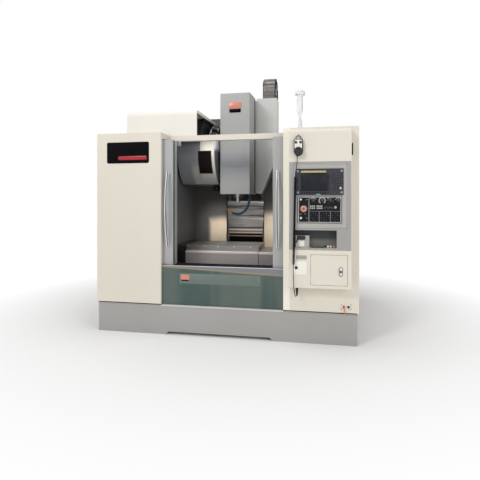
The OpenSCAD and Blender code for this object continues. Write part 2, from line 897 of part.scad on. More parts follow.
module chain_outline() {
    r = chain_t / 2;
    translate([chain_yc, chain_zc]) {
        difference() {
            circle(r = chain_r + r, $fn = 96);
            circle(r = chain_r - r, $fn = 96);
            translate([-2 * chain_r, -4 * chain_r]) square(4 * chain_r);
        }
        for (y = [-chain_r, chain_r]) translate([y - r, -chain_leg]) square([chain_t, chain_leg]);
    }
}

module energy_chain() {
    side = 14;
    leg = chain_leg / leg_links;
    step = 180 / bend_links;
    chord = 2 * chain_r * sin(step / 2);
    color("#2a2b2d") {
        for (x = [chain_x, chain_x + chain_w - side]) along_x(x, x + side) chain_outline();
        for (i = [0 : leg_links - 1], y = [-chain_r, chain_r]) {
            translate([0, chain_yc + y, chain_zc - chain_leg + i * leg]) chain_bars(leg);
        }
        for (i = [0 : bend_links - 1]) translate([0, chain_yc, chain_zc]) rotate([-i * step, 0, 0])
            translate([0, -chain_r, 0]) rotate([-step / 2, 0, 0]) chain_bars(chord);
    }
}

// Plate of the telescopic cover on the column; n counts from the topmost plate inwards
module way_plate(n, z0, z1) {
    x1 = way_w / 2 - n * way_step;
    y0 = front_y + 1410 + n * way_step;
    t = 4;
    block([-x1, y0, z0], [x1, y0 + t, z1]);
    for (s = [-1, 1]) mirror([s < 0 ? 1 : 0, 0, 0]) block([x1 - t, y0, z0], [x1, column_y0 - (n == 3 ? 0 : gap), z1]);
    for (k = [0 : way_ridges - 1]) {
        z = z0 + k * (z1 - z0) / way_ridges;
        block([-x1, y0 - 3, z], [x1, y0, z + 10]);
    }
}

function way_low(n) = rear_wall_low + (3 - n) * (way_h - way_lap);

module z_cover_base() {
    color("#a7a8a8") way_plate(3, way_low(3), way_low(3) + way_h);
}

module z_cover_lower() {
    color("#a7a8a8") way_plate(2, way_low(2), way_low(2) + way_h);
}

module z_cover_upper() {
    color("#a7a8a8") way_plate(1, way_low(1), way_low(1) + way_h);
}

module z_cover_top() {
    color("#a7a8a8") way_plate(0, way_low(0), slide_low);
}

module console_housing() {
    x1 = console_x + console_w;
    color("#ece7da") {
        difference() {
            along_x(console_x, x1) polygon([
                [console_y, console_low], [front_y, console_low], [front_y, console_back_top], [console_y, console_top]
            ]);
            block([panel_x0, console_y - over, panel_low], [panel_x0 + panel_w, console_y + panel_in, panel_low + panel_h]);
            block([shelf_x, console_y, shelf_z], [shelf_x + shelf_w, console_y + shelf_d, shelf_z + shelf_h]);
            block([locker_x, console_y - over, locker_z], [locker_x + locker_w, console_y + locker_d, locker_z + locker_h]);
        }
        z_rod(752, gland_y, console_low - gland_h, console_low, gland_r);
        block([723, console_y - 2, 668], [846, console_y, 793]);
    }
}

module operator_panel() {
    color("#9b9c99") {
        difference() {
            block([panel_x0, console_y, panel_low], [panel_x0 + panel_w, console_y + panel_in, panel_low + panel_h]);
            block([shelf_x, console_y - over, shelf_z], [shelf_x + shelf_w, console_y + panel_in + over, shelf_z + shelf_h]);
        }
        ring_block([frame_x, console_y - frame_out, frame_z], [frame_x + frame_w, console_y, frame_z + frame_h],
            [frame_x + frame_edge, frame_z + frame_edge], [frame_x + frame_w - frame_edge, frame_z + frame_h - frame_edge]);
    }
}

// Field of square keys with the lowest corner of the first key at x and z
module keys(x, y, z, cols, rows, px, pz, size) {
    for (i = [0 : cols - 1], j = [0 : rows - 1]) {
        block([x + i * px, y - 2, z + j * pz], [x + i * px + size, y, z + j * pz + size]);
    }
}

module display_unit() {
    y0 = console_y - unit_t;
    color("#3a3d40") {
        difference() {
            block([unit_x, y0, unit_z], [unit_x + unit_w, console_y, unit_z + unit_h]);
            block([lcd_x, y0 - over, lcd_z], [lcd_x + lcd_w, y0 + 4, lcd_z + lcd_h]);
        }
        keys(lcd_x - 2, y0, unit_z + 12, 10, 1, 23.5, 20, 15);
        keys(1062, y0, lcd_z + 2, 5, 7, 22, 22.5, 16);
    }
}

module machine_keypad() {
    y0 = console_y - pad_t;
    color("#1d1f21") {
        difference() {
            union() {
                block([pad_x, y0, pad_z], [pad_x + pad_w, console_y, pad_z + pad_h]);
                y_rod(stop_x, y0 - stop_collar, y0, stop_z, stop_stem_r + 6);
            }
            y_rod(stop_x, y0 - stop_collar - over, console_y + over, stop_z, stop_stem_r + gap);
        }
        keys(874, y0, pad_z + 4, 4, 5, 20, 20, 15);
        keys(968, y0, pad_z + 4, 4, 5, 22, 20, 16);
        keys(1067, y0, pad_z + 4, 4, 5, 22, 20, 16);
        for (z = [1191, 1362]) y_rod(791, y0 - 5, y0, z, 11);
    }
}

// Rotary knob whose skirt stands on the keypad's face; a ridge shows where it points
module rotary_knob(x) {
    y1 = console_y - pad_t - gap;
    color("#2a2b2d") {
        y_rod(x, y1 - 5, y1, knob_z, knob_r + 3);
        y_rod(x, y1 - knob_l, y1 - 5, knob_z, knob_r - 3);
        block([x - 3, y1 - knob_l - 2, knob_z - knob_r + 3], [x + 3, y1 - 5, knob_z + knob_r + 2]);
    }
}

module mode_knob() {
    rotary_knob(903);
}

module rapid_knob() {
    rotary_knob(983);
}

module feed_knob() {
    rotary_knob(1055);
}

module spindle_knob() {
    rotary_knob(1127);
}

module emergency_stop() {
    low = stop_collar + 7.5;
    color("#c62828") translate([stop_x, console_y - pad_t, stop_z]) rotate([90, 0, 0]) rotate_extrude() polygon([
        [0, 2], [stop_stem_r, 2], [stop_stem_r, low], [stop_r, low + 3], [stop_r, low + 10],
        [stop_r - 8, low + 16], [0, low + 18]
    ]);
}

module tower_lamp() {
    z0 = enclosure_h;
    color("#f4f5f6") translate([lamp_x, lamp_y, z0]) rotate_extrude() polygon([
        [0, 0], [26, 0], [26, 6], [19, 10], [19, 80], [12, 86], [12, 106], [29, 172], [29, 318],
        [48, 322], [48, 352], [40, 362], [0, 364]
    ]);
}

module mpg_pendant() {
    x0 = pendant_x - pendant_w / 2;
    y0 = console_y - pendant_d;
    color("#e9eaea") {
        difference() {
            block([x0, y0, pendant_z], [x0 + pendant_w, console_y, pendant_z + pendant_h]);
            for (x = [x0, x0 + pendant_w]) translate([x, y0, pendant_z - over])
                rotate([0, 0, 45]) cube([14, 14, 2 * pendant_h + 4], center = true);
        }
        translate([pendant_x, console_y - 10, pendant_z + pendant_h]) block([-20, 0, 0], [20, 10, 26]);
        z_rod(758, console_y - 23, pendant_z - 14, pendant_z, 8);
    }
}

module handwheel() {
    y1 = console_y - pendant_d - gap;
    color("#1b1c1e") {
        y_rod(pendant_x, y1 - wheel_t, y1, wheel_z, wheel_r);
        y_rod(pendant_x, y1 - wheel_t - crank_l, y1 - wheel_t, wheel_z + wheel_r - 12, 8);
    }
}

module selector(x) {
    y1 = console_y - pendant_d - gap;
    color("#1b1c1e") {
        y_rod(x, y1 - 14, y1, selector_z, selector_r);
        block([x - 2, y1 - 16, selector_z - selector_r], [x + 2, y1 - 14, selector_z + selector_r]);
    }
}

module axis_knob() {
    selector(pendant_x - selector_dx);
}

module step_knob() {
    selector(pendant_x + selector_dx);
}

module pendant_cord() {
    color("#1b1c1e") {
        tube_along([for (p = cord_upper) p[2] > pendant_z - 14 ? [p[0], p[1], pendant_z - 14] : p], cord_d / 2, 8);
        tube_along(cord_lower, cord_d / 2, 8);
    }
}

module pendant_cord_coil() {
    color("#1b1c1e") tube_along([cord_upper[len(cord_upper) - 1], cord_lower[0]], curl_d / 2, 12);
}

module console_door() {
    x0 = locker_x + leaf_gap;
    x1 = locker_x + locker_w - leaf_gap;
    z0 = locker_z + leaf_gap;
    z1 = locker_z + locker_h - leaf_gap;
    color("#ece7da") {
        block([x0, console_y, z0], [x1, console_y + 3, z1]);
        block([x1 - 14, console_y + 3, z0], [x1 - 11, console_y + 15, z1]);
        for (z = [z0 + 30, z1 - 80]) {
            z_rod(locker_x + gap + 4.6, console_y + 4, z, z + 50, 4);
        }
    }
}

module console_latch() {
    color("#d9dcde") {
        y_rod(latch_x, console_y - 8, console_y - gap, latch_z + 28, 13);
        block([latch_x - 9, console_y - 14, latch_z - 42], [latch_x + 9, console_y - 7, latch_z + 36]);
    }
}

module electrical_cabinet() {
    x1 = cabinet_w / 2;
    z1 = cabinet_low + cabinet_h;
    t = cabinet_t;
    plate_y = column_y1 + t + 6;
    room = cabinet_y1 - plate_y;
    color("#d9d5ca") {
        difference() {
            block([-x1, column_y1, cabinet_low], [x1, cabinet_y1, z1]);
            block([-x1 + t, column_y1 + t, cabinet_low + t], [x1 - t, cabinet_y1 + over, z1 - t]);
        }
        block([-x1 + 40, column_y1 + t, cabinet_low + 60], [x1 - 40, plate_y, z1 - 60]);
    }
    color("#55585c") {
        for (i = [0 : 3]) block([-340 + i * 170, plate_y, 1560], [-215 + i * 170, plate_y + room * 0.52, 1900]);
        for (i = [0 : 7]) block([-340 + i * 80, plate_y, 1260], [-285 + i * 80, plate_y + room * 0.28, 1350]);
        block([-330, plate_y, 640], [-60, plate_y + room * 0.6, 900]);
        block([20, plate_y, 640], [330, plate_y + room * 0.42, 820]);
    }
}

module cabinet_door() {
    x1 = cabinet_w / 2;
    z1 = cabinet_low + cabinet_h;
    y0 = cabinet_y1 + gap;
    color("#d9d5ca") {
        difference() {
            block([-x1, y0, cabinet_low], [x1, back_y, z1]);
            block([-x1 + 3, y0 - over, cabinet_low + 3], [x1 - 3, back_y - 3, z1 - 3]);
            for (i = [0 : 6]) block([150, back_y - 4, 560 + i * 26], [330, back_y + over, 570 + i * 26]);
            block([-x1 + 40, back_y - 4, 1230], [-x1 + 66, back_y + over, 1350]);
        }
        for (z = [cabinet_low + 180, (cabinet_low + z1) / 2, z1 - 180]) {
            z_rod(x1 + hinge_r + gap, y0, z - 40, z + 40, hinge_r);
            block([x1 - 12, y0, z - 40], [x1 + hinge_r + gap, y0 + 3, z + 40]);
        }
    }
}

module lubrication_unit() {
    y0 = back_panel_y;
    color("#d7d9d6") {
        block([-860, y0, 900], [-640, y0 + 120, 1090]);
        block([-850, y0, 1090], [-650, y0 + 110, 1180]);
        z_rod(-790, y0 + 55, 1180, 1260, 32);
        z_rod(-700, y0 + 55, 1180, 1205, 22);
    }
}

module servo_motor(l) {
    block([-90, -90, 0], [90, 90, l - 60]);
    block([-70, -70, l - 60], [70, 70, l]);
}

module drive_motors() {
    color("#303236") {
        translate([0, column_y0 + 160, column_h]) servo_motor(230);
        translate([0, bed_y0, bed_top - 190]) rotate([90, 0, 0]) servo_motor(180);
    }
}

chip_tray();
bed();
levelling_feet();
column();
guide_rails();
left_enclosure();
right_enclosure();
inner_walls();
rear_wall();
door_lintel();
front_apron();
magazine_hood();
magazine_housing();
magazine_cover();
magazine_window();
console_housing();
operator_panel();
display_unit();
machine_keypad();
tower_lamp();
mpg_pendant();
pendant_cord();
pendant_cord_coil();
chain_channel();
electrical_cabinet();
lubrication_unit();
drive_motors();
z_cover_base();
left_door();
left_door_glass();
left_door_handle();
right_door();
right_door_glass();
right_door_handle();
saddle();
table();
table_apron();
table_wings();
spindle_head();
head_cover();
chain_guard();
coolant_hose();
spindle();
magazine_disc();
changing_pot();
energy_chain();
z_cover_top();
z_cover_upper();
z_cover_lower();
handwheel();
axis_knob();
step_knob();
emergency_stop();
mode_knob();
rapid_knob();
feed_knob();
spindle_knob();
console_door();
console_latch();
cabinet_door();
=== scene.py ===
import math

import bmesh
import bpy
from mathutils import Matrix, Vector


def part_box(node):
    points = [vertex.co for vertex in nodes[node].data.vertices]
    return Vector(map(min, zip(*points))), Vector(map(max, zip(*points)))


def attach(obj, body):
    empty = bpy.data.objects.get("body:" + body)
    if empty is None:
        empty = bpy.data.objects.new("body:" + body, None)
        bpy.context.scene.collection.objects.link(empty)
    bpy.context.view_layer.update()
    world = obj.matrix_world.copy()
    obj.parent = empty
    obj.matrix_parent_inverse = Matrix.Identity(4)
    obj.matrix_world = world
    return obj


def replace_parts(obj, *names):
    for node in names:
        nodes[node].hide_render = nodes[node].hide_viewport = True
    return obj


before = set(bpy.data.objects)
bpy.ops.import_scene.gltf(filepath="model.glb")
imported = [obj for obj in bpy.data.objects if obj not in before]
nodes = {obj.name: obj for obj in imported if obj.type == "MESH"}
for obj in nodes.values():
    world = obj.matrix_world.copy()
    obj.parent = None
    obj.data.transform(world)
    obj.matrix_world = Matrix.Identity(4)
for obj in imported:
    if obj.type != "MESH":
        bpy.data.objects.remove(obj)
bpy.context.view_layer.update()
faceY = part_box("left_enclosure")[0].y   # flat face of the enclosure, from which depths are counted
print("frame loaded")


# A point in millimetres: to the right, into the machine from its face, and up from the floor
def spot(x, y, z):
    return Vector((x / 1000, faceY + y / 1000, z / 1000))


toRight, toFront, toBack, upward = [Vector(v) for v in ((1, 0, 0), (0, -1, 0), (0, 1, 0), (0, 0, 1))]


# Camera and cord
cameraView = {"side": 963.75, "distance": 3991, "height": 1357.5, "turn": 10.868, "lens": 31.25,
              "shift": -0.0833}

camera = bpy.data.objects.new("viewCamera", bpy.data.cameras.new("viewCamera"))
bpy.context.scene.collection.objects.link(camera)
camera.location = spot(cameraView["side"], -cameraView["distance"], cameraView["height"])
camera.rotation_euler = (math.radians(90), 0, math.radians(cameraView["turn"]))
camera.data.lens = cameraView["lens"]
camera.data.sensor_width = 36
camera.data.shift_y = cameraView["shift"]
bpy.context.scene.camera = camera
bpy.context.scene.view_settings.view_transform = "Standard"


def routeLength(points):
    return sum((b - a).length for a, b in zip(points, points[1:]))


# Smooth line through the given points, with so many steps from each to the next
def smoothRoute(points, steps):
    padded = [points[0] * 2 - points[1], *points, points[-1] * 2 - points[-2]]
    route = []
    for i in range(1, len(padded) - 2):
        a, b, c, d = padded[i - 1:i + 3]
        for k in range(steps):
            t = k / steps
            route.append(0.5 * (2 * b + (c - a) * t + (2 * a - 5 * b + 4 * c - d) * t * t
                                + (3 * b - a - 3 * c + d) * t ** 3))
    return route + [points[-1]]


pendantLead = {"wire": 7, "turns": 86, "coil": 8.4, "ease": 1.5, "perTurn": 14, "length": 5.13}
upperLead = [spot(*p) for p in [(758, -133, 1750), (758, -134, 1740), (757, -136, 1710), (755, -138, 1680),
                                (752, -140, 1650), (747, -140, 1620), (742.5, -140, 1600), (742, -140, 1578)]]
lowerLead = [spot(*p) for p in [(724, -140, 759), (723.5, -140, 736), (723.5, -140, 700), (723.5, -140, 660),
                                (724, -139, 620), (725.5, -136, 580), (728.5, -129, 540), (732, -118, 504),
                                (736, -104, 476), (740, -88, 462), (745, -73, 462), (749, -63, 473),
                                (752, -60, 486), (752, -60, 494)]]


# Curly stretch between the two plain ends; its radius grows and shrinks over the first and last turns
def curlyRoute(start, end, settings):
    axis = (end - start).normalized()
    side = axis.orthogonal().normalized()
    other = axis.cross(side)
    count = settings["turns"] * settings["perTurn"]
    route = []
    for i in range(1, count):
        turn = i / settings["perTurn"]
        grow = min(1, turn / settings["ease"], (settings["turns"] - turn) / settings["ease"])
        angle = 2 * math.pi * turn
        radius = settings["coil"] / 1000 * grow
        route.append(start.lerp(end, i / count) + radius * (math.cos(angle) * side + math.sin(angle) * other))
    return route


leadRoute = smoothRoute(upperLead, 4)
leadRoute += curlyRoute(upperLead[-1], lowerLead[0], pendantLead)
leadRoute += smoothRoute(lowerLead, 3)
leadCurve = bpy.data.curves.new("pendantLead", "CURVE")
leadCurve.dimensions = "3D"
leadCurve.bevel_depth = pendantLead["wire"] / 2000
leadCurve.bevel_resolution = 2
leadCurve.use_fill_caps = True
leadSpline = leadCurve.splines.new("POLY")
leadSpline.points.add(len(leadRoute) - 1)
for point, place in zip(leadSpline.points, leadRoute):
    point.co = (*place, 1)
leadShape = bpy.data.objects.new("leadShape", leadCurve)
lead = bpy.data.objects.new("pendantLead", bpy.data.meshes.new_from_object(leadShape))
bpy.data.objects.remove(leadShape)
bpy.context.scene.collection.objects.link(lead)
lead.data.shade_smooth()
lead.data.set_sharp_from_angle(angle=math.radians(60))
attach(lead, "machine")
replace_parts(lead, "pendant_cord", "pendant_cord_coil")
print("camera and cord made, cord length", round(routeLength(leadRoute), 3))


# Finishes
def toLinear(hexText):
    parts = [int(hexText[i:i + 2], 16) / 255 for i in (1, 3, 5)]
    return (*[p / 12.92 if p <= 0.04045 else ((p + 0.055) / 1.055) ** 2.4 for p in parts], 1)


def addNode(tree, kind, settings=None, links=None):
    node = tree.nodes.new(kind)
    for key, value in (settings or {}).items():
        if isinstance(key, int) or key in node.inputs:
            node.inputs[key].default_value = value
        else:
            setattr(node, key, value)
    for key, socket in (links or {}).items():
        tree.links.new(socket, node.inputs[key])
    return node


def newFinish(name, settings):
    finish = bpy.data.materials.new(name)
    finish.use_nodes = True
    tree = finish.node_tree
    tree.nodes.clear()
    shader = addNode(tree, "ShaderNodeBsdfPrincipled", settings)
    addNode(tree, "ShaderNodeOutputMaterial", None, {"Surface": shader.outputs[0]})
    return finish, tree, shader, addNode(tree, "ShaderNodeTexCoord").outputs["Object"]


# Two tones clouded into each other; size is that of the clouds in millimetres
def clouded(tree, coords, size, first, second):
    cloud = addNode(tree, "ShaderNodeTexNoise", {"Scale": 1000 / size, "Detail": 5, "Roughness": 0.6},
                    {"Vector": coords})
    spread = addNode(tree, "ShaderNodeMapRange", {"From Min": 0.28, "From Max": 0.72},
                     {"Value": cloud.outputs["Fac"]})
    return addNode(tree, "ShaderNodeMix", {"data_type": "RGBA", 6: toLinear(first), 7: toLinear(second)},
                   {0: spread.outputs[0]}).outputs[2]


# Noise drawn out into lines or streaks, whose scale is their number in a metre along each axis
def streaked(tree, coords, scale, detail, roughness):
    stretched = addNode(tree, "ShaderNodeMapping", {"Scale": scale}, {"Vector": coords})
    return addNode(tree, "ShaderNodeTexNoise", {"Scale": 1, "Detail": detail, "Roughness": roughness},
                   {"Vector": stretched.outputs[0]}).outputs["Fac"]


# Relief of a pattern over edges that are rounded off; fold is their radius in millimetres
def addRelief(tree, shader, height, strength, distance, fold, samples=4):
    edge = addNode(tree, "ShaderNodeBevel", {"samples": samples, "Radius": fold / 1000})
    bump = addNode(tree, "ShaderNodeBump", {"Strength": strength, "Distance": distance},
                   {"Height": height, "Normal": edge.outputs[0]})
    tree.links.new(bump.outputs[0], shader.inputs["Normal"])


# Powder coat baked on folded sheet: satin, an orange peel of 2.5 mm, soft folded edges, a little dust low down
def powderCoat(name, hexText, shadeHex, roughness, dust=0.0):
    finish, tree, shader, coords = newFinish(name, {"IOR": 1.5})
    colour = clouded(tree, coords, 700, hexText, shadeHex)
    if dust:
        height = addNode(tree, "ShaderNodeSeparateXYZ", None, {"Vector": coords}).outputs["Z"]
        low = addNode(tree, "ShaderNodeMapRange", {"From Max": 0.5, "To Min": dust, "To Max": 0.0},
                      {"Value": height})
        speck = addNode(tree, "ShaderNodeTexNoise", {"Scale": 60, "Detail": 8}, {"Vector": coords})
        amount = addNode(tree, "ShaderNodeMath", {"operation": "MULTIPLY"},
                         {0: low.outputs[0], 1: speck.outputs["Fac"]})
        colour = addNode(tree, "ShaderNodeMix", {"data_type": "RGBA", 7: toLinear("#6f6a62")},
                         {0: amount.outputs[0], 6: colour}).outputs[2]
    tree.links.new(colour, shader.inputs["Base Color"])
    peel = addNode(tree, "ShaderNodeTexNoise", {"Scale": 1000 / 2.5, "Detail": 2}, {"Vector": coords})
    addRelief(tree, shader, peel.outputs["Fac"], 0.08, 0.0006, 2.5, 6)
    wear = addNode(tree, "ShaderNodeTexNoise", {"Scale": 9, "Detail": 4}, {"Vector": coords})
    rough = addNode(tree, "ShaderNodeMapRange", {"To Min": roughness - 0.05, "To Max": roughness + 0.08},
                    {"Value": wear.outputs["Fac"]})
    tree.links.new(rough.outputs[0], shader.inputs["Roughness"])
    return finish


# Brushed or ground metal: fine lines along one axis that stretch the highlight, given in lines per metre
def linedMetal(name, hexText, shadeHex, lines, roughness, strength, metallic=1.0):
    finish, tree, shader, coords = newFinish(name, {"Metallic": metallic})
    tree.links.new(clouded(tree, coords, 260, hexText, shadeHex), shader.inputs["Base Color"])
    line = streaked(tree, coords, lines, 4, 0.7)
    addRelief(tree, shader, line, strength, 0.0004, 1)
    rough = addNode(tree, "ShaderNodeMapRange", {"To Min": roughness - 0.08, "To Max": roughness + 0.12},
                    {"Value": line})
    tree.links.new(rough.outputs[0], shader.inputs["Roughness"])
    return finish


# Moulded plastic: spark-eroded grain, drawn coarse enough to break up the highlight; a low IOR dulls dark ones
def mouldedPlastic(name, hexText, shadeHex, roughness, grain=1.2, strength=0.15, ior=1.5):
    finish, tree, shader, coords = newFinish(name, {"Roughness": roughness, "IOR": ior})
    tree.links.new(clouded(tree, coords, 40, hexText, shadeHex), shader.inputs["Base Color"])
    pits = addNode(tree, "ShaderNodeTexNoise", {"Scale": 1000 / grain, "Detail": 3}, {"Vector": coords})
    addRelief(tree, shader, pits.outputs["Fac"], strength, 0.0003, 0.8)
    return finish


# Enamel brushed on a rough casting: glossier than powder coat, over a ground of 7 mm pebbles
def castEnamel(name, hexText, shadeHex):
    finish, tree, shader, coords = newFinish(name, {"Roughness": 0.38})
    tree.links.new(clouded(tree, coords, 180, hexText, shadeHex), shader.inputs["Base Color"])
    pebbles = addNode(tree, "ShaderNodeTexNoise", {"Scale": 140, "Detail": 6}, {"Vector": coords})
    addRelief(tree, shader, pebbles.outputs["Fac"], 0.25, 0.001, 6)
    return finish


# Clear or milky sheet that light goes through, with a faint waviness
def clearSheet(name, hexText, roughness, transmission, ior):
    finish, tree, shader, coords = newFinish(name, {"Base Color": toLinear(hexText), "Roughness": roughness,
                                                    "Transmission Weight": transmission, "IOR": ior})
    wave = addNode(tree, "ShaderNodeTexNoise", {"Scale": 12, "Detail": 1}, {"Vector": coords})
    bump = addNode(tree, "ShaderNodeBump", {"Strength": 0.04, "Distance": 0.001},
                   {"Height": wave.outputs["Fac"]})
    tree.links.new(bump.outputs[0], shader.inputs["Normal"])
    return finish


def coordsIn(finish):
    return next(n for n in finish.node_tree.nodes if n.type == "TEX_COORD").outputs["Object"]


# Second colour laid over a finish. Each range gives a direction or a pattern, the value where the colour
# starts and the one where it is full, in metres along a direction, and the ranges multiply
def tint(finish, hexText, *ranges, most=1.0):
    tree = finish.node_tree
    shader = next(n for n in tree.nodes if n.type == "BSDF_PRINCIPLED")
    share = {}
    for value, start, full in ranges:
        if isinstance(value, Vector):
            value = addNode(tree, "ShaderNodeVectorMath", {"operation": "DOT_PRODUCT", 1: value},
                            {0: coordsIn(finish)}).outputs["Value"]
        rise = addNode(tree, "ShaderNodeMapRange", {"interpolation_type": "SMOOTHSTEP", "From Min": start,
                                                    "From Max": full, "To Max": most},
                       {"Value": value, **share})
        share = {"To Max": rise.outputs[0]}
    under = shader.inputs["Base Color"].links[0].from_socket
    mixed = addNode(tree, "ShaderNodeMix", {"data_type": "RGBA", 7: toLinear(hexText)},
                    {0: rise.outputs[0], 6: under})
    tree.links.new(mixed.outputs[2], shader.inputs["Base Color"])


creamCoat = powderCoat("creamPowderCoat", "#e7e1d4", "#e2dbcc", 0.45)
trayCoat = powderCoat("greyPowderCoatTray", "#b1afac", "#aaa8a5", 0.5, dust=0.35)
coverCoat = powderCoat("greyPowderCoatCover", "#b4b4b2", "#adadab", 0.45)
doorCoat = powderCoat("greyPowderCoatDoor", "#b2b3b3", "#abacac", 0.45)
panelCoat = powderCoat("greyPowderCoatPanel", "#a6a5a3", "#a09f9d", 0.5)
frameCoat = powderCoat("paleGreyCoatFrame", "#b9b6b1", "#b1aea9", 0.5)
wallCoat = powderCoat("darkGreyCoatWalls", "#747476", "#6a6a6c", 0.5)
shellCoat = powderCoat("creamCoatMagazine", "#ebe6da", "#e4dece", 0.4)
wingCoat = powderCoat("greyCoatWings", "#938d8a", "#8a8481", 0.42)
hoodCoat = powderCoat("creamPowderCoatHood", "#efece4", "#eae7de", 0.45)
drumCoat = powderCoat("greyCoatDrum", "#8d9193", "#84888b", 0.36)
tanCoat = powderCoat("creamCoatRearWall", "#dccab0", "#d3c0a4", 0.5)
skirtCoat = powderCoat("greyCoatTableSkirt", "#9c9693", "#948e8b", 0.42)
ledgeCoat = powderCoat("paleCoatTableLedge", "#d8ccc7", "#cfc2bd", 0.4)
shelfCoat = powderCoat("darkGreyCoatShelf", "#6e6b68", "#65625f", 0.5)
# Hood rim: white instead of the hood's cream, a painted highlight on its flanges
rimPaintedHighlight = powderCoat("hoodRimPaintedHighlight", "#fbfaf7", "#f6f5f1", 0.4)
# Tray edge: pale, a painted highlight along the tray's rolled lip
trayEdgeHighlight = powderCoat("paleTrayEdgePaintedHighlight", "#d4d3d0", "#cbcac7", 0.45)
stripCoat = powderCoat("greenGreyStrip", "#a8a898", "#a0a090", 0.5)
blackSheet = powderCoat("blackCoatWing", "#1e1e20", "#17171a", 0.5)
castingCoat = castEnamel("greenGreyEnamelCasting", "#7f8785", "#747c7a")
stainless = linedMetal("stainlessSheetBrushed", "#53645f", "#485b59", (3, 500, 500), 0.34, 0.05, 0.55)
groundSteel = linedMetal("groundSteel", "#a5a3a0", "#93918e", (6, 700, 700), 0.4, 0.15)
waySteel = linedMetal("waySteelPlate", "#a09d9a", "#8c8986", (500, 500, 5), 0.3, 0.08)
chromePlate = linedMetal("chromePlateTube", "#f7f8f9", "#f0f1f3", (40, 40, 4), 0.2, 0.01, 0.35)
brightSteel = linedMetal("brightSteelEdge", "#e6e4e6", "#dad8da", (4, 400, 400), 0.3, 0.04, 0.7)
turnedSteel = linedMetal("turnedSteel", "#c3c5c6", "#b0b2b4", (20, 20, 900), 0.28, 0.1)
plateSheet = linedMetal("paleFoilPlate", "#717d77", "#6b7771", (3, 300, 300), 0.45, 0.03, 0.3)
zincPlate = linedMetal("zincPlatedScrew", "#b9bcbf", "#a3a7ab", (200, 200, 200), 0.35, 0.05)
blackPlastic = mouldedPlastic("blackAbsMoulded", "#1c1c1e", "#151517", 0.45)
unitPlastic = mouldedPlastic("darkGreyAbsUnit", "#434249", "#3c3b42", 0.55, ior=1.28)
keyPlastic = mouldedPlastic("darkKeyAbs", "#1d1e23", "#18191d", 0.45, ior=1.28)
padFoil = mouldedPlastic("blackPolyesterFoil", "#131417", "#0f1012", 0.42, 3, ior=1.28)
whitePlastic = mouldedPlastic("whiteAbsMoulded", "#faf7ef", "#f4f1e8", 0.35)
redPlastic = mouldedPlastic("redAbsButton", "#c8443d", "#b83a34", 0.3)
bluePad = mouldedPlastic("paleBlueCorner", "#93acbe", "#869fb2", 0.4)
yellowFoil = mouldedPlastic("yellowFoil", "#c0b37d", "#b5a870", 0.5)
lightInk = mouldedPlastic("paleGreyInk", "#b9b9b9", "#a9a9a9", 0.55)
midInk = mouldedPlastic("midGreyInk", "#77787a", "#6c6d6f", 0.55)
hoseBlue = mouldedPlastic("blueAcetalHose", "#2f5573", "#274a66", 0.38)
nozzleOrange = mouldedPlastic("orangeAcetalNozzle", "#d9812f", "#c97327", 0.38)
yellowPlastic = mouldedPlastic("yellowPotRing", "#d8b23a", "#c9a22f", 0.4)
chainPlastic = mouldedPlastic("blackPolyamideChain", "#141416", "#0f0f11", 0.7, 2.5, ior=1.28)
airTube = mouldedPlastic("orangePolyurethaneTube", "#ec7f62", "#e47458", 0.4)
barPlastic = mouldedPlastic("greyPolyamideBars", "#8b8683", "#7b7673", 0.5, 2.5)
cordPvc = mouldedPlastic("blackCordPvc", "#0b0b0c", "#070708", 0.6, 2, ior=1.28)
rubberSeal = mouldedPlastic("blackRubberSeal", "#19191a", "#121213", 0.7, 2, ior=1.28)
plateAcrylic = mouldedPlastic("blackAcrylicPlate", "#0e0e11", "#0a0a0c", 0.5, 6, 0.03, ior=1.12)
redAcrylic = mouldedPlastic("redAcrylicBar", "#b5262c", "#9c1f26", 0.25, 6, 0.03)
coralAcrylic = mouldedPlastic("coralAcrylicPlate", "#e09078", "#d8866e", 0.3, 6, 0.03)
screenGlass = mouldedPlastic("screenGlass", "#26272e", "#1b1c22", 0.3, 8, 0.02, ior=1.28)
darkAcrylic = mouldedPlastic("smokedAcrylicWindow", "#0a0505", "#070303", 0.42, 8, 0.03, ior=1.28)
brownEdge = mouldedPlastic("brownAcrylicEdge", "#5c2a20", "#4c2219", 0.3)
safetyGlass = clearSheet("tintedSafetyGlass", "#a9bcc0", 0.03, 1.0, 1.52)
lampShell = clearSheet("milkyPolycarbonate", "#fdfdff", 0.3, 0.55, 1.49)
lead.data.materials.append(cordPvc)

# Handles and latch: painted reflection, the mirroring plate painted darker where it faces the eye
facing = addNode(chromePlate.node_tree, "ShaderNodeLayerWeight", {"Blend": 0.5}).outputs["Facing"]
tint(chromePlate, "#6c6f73", (facing, 0.2, 0.08))

# Painted shadow on the rear wall, for the shade of the head and the magazine drum: grey above a slanting line,
# and to the left of the column.
# The place to the left is read on the slant's scale, so that the larger of the two counts
shadowEdge = (1.09, 1.215)
tree = tanCoat.node_tree
slant = addNode(tree, "ShaderNodeVectorMath", {"operation": "DOT_PRODUCT", 1: (-0.116, 0, 1)},
                {0: coordsIn(tanCoat)})
across = addNode(tree, "ShaderNodeSeparateXYZ", None, {"Vector": coordsIn(tanCoat)})
left = addNode(tree, "ShaderNodeMapRange", {"clamp": False, "From Min": -0.44, "From Max": -0.51,
                                            "To Min": shadowEdge[0], "To Max": shadowEdge[1]},
               {"Value": across.outputs["X"]})
paintedShadow = addNode(tree, "ShaderNodeMath", {"operation": "MAXIMUM"},
               {0: slant.outputs["Value"], 1: left.outputs[0]})
tint(tanCoat, "#5d5b58", (paintedShadow.outputs[0], *shadowEdge))

# Magazine: painted shade greys the shell's lower half and darkens its rim, with a painted highlight on the
# rim's top
shellRim = (toRight, -0.221, -0.213)
tint(shellCoat, "#b9b7b2", (upward, 1.80, 1.58))
tint(shellCoat, "#505157", shellRim)
tint(shellCoat, "#dcdde4", shellRim, (upward, 1.90, 1.97))
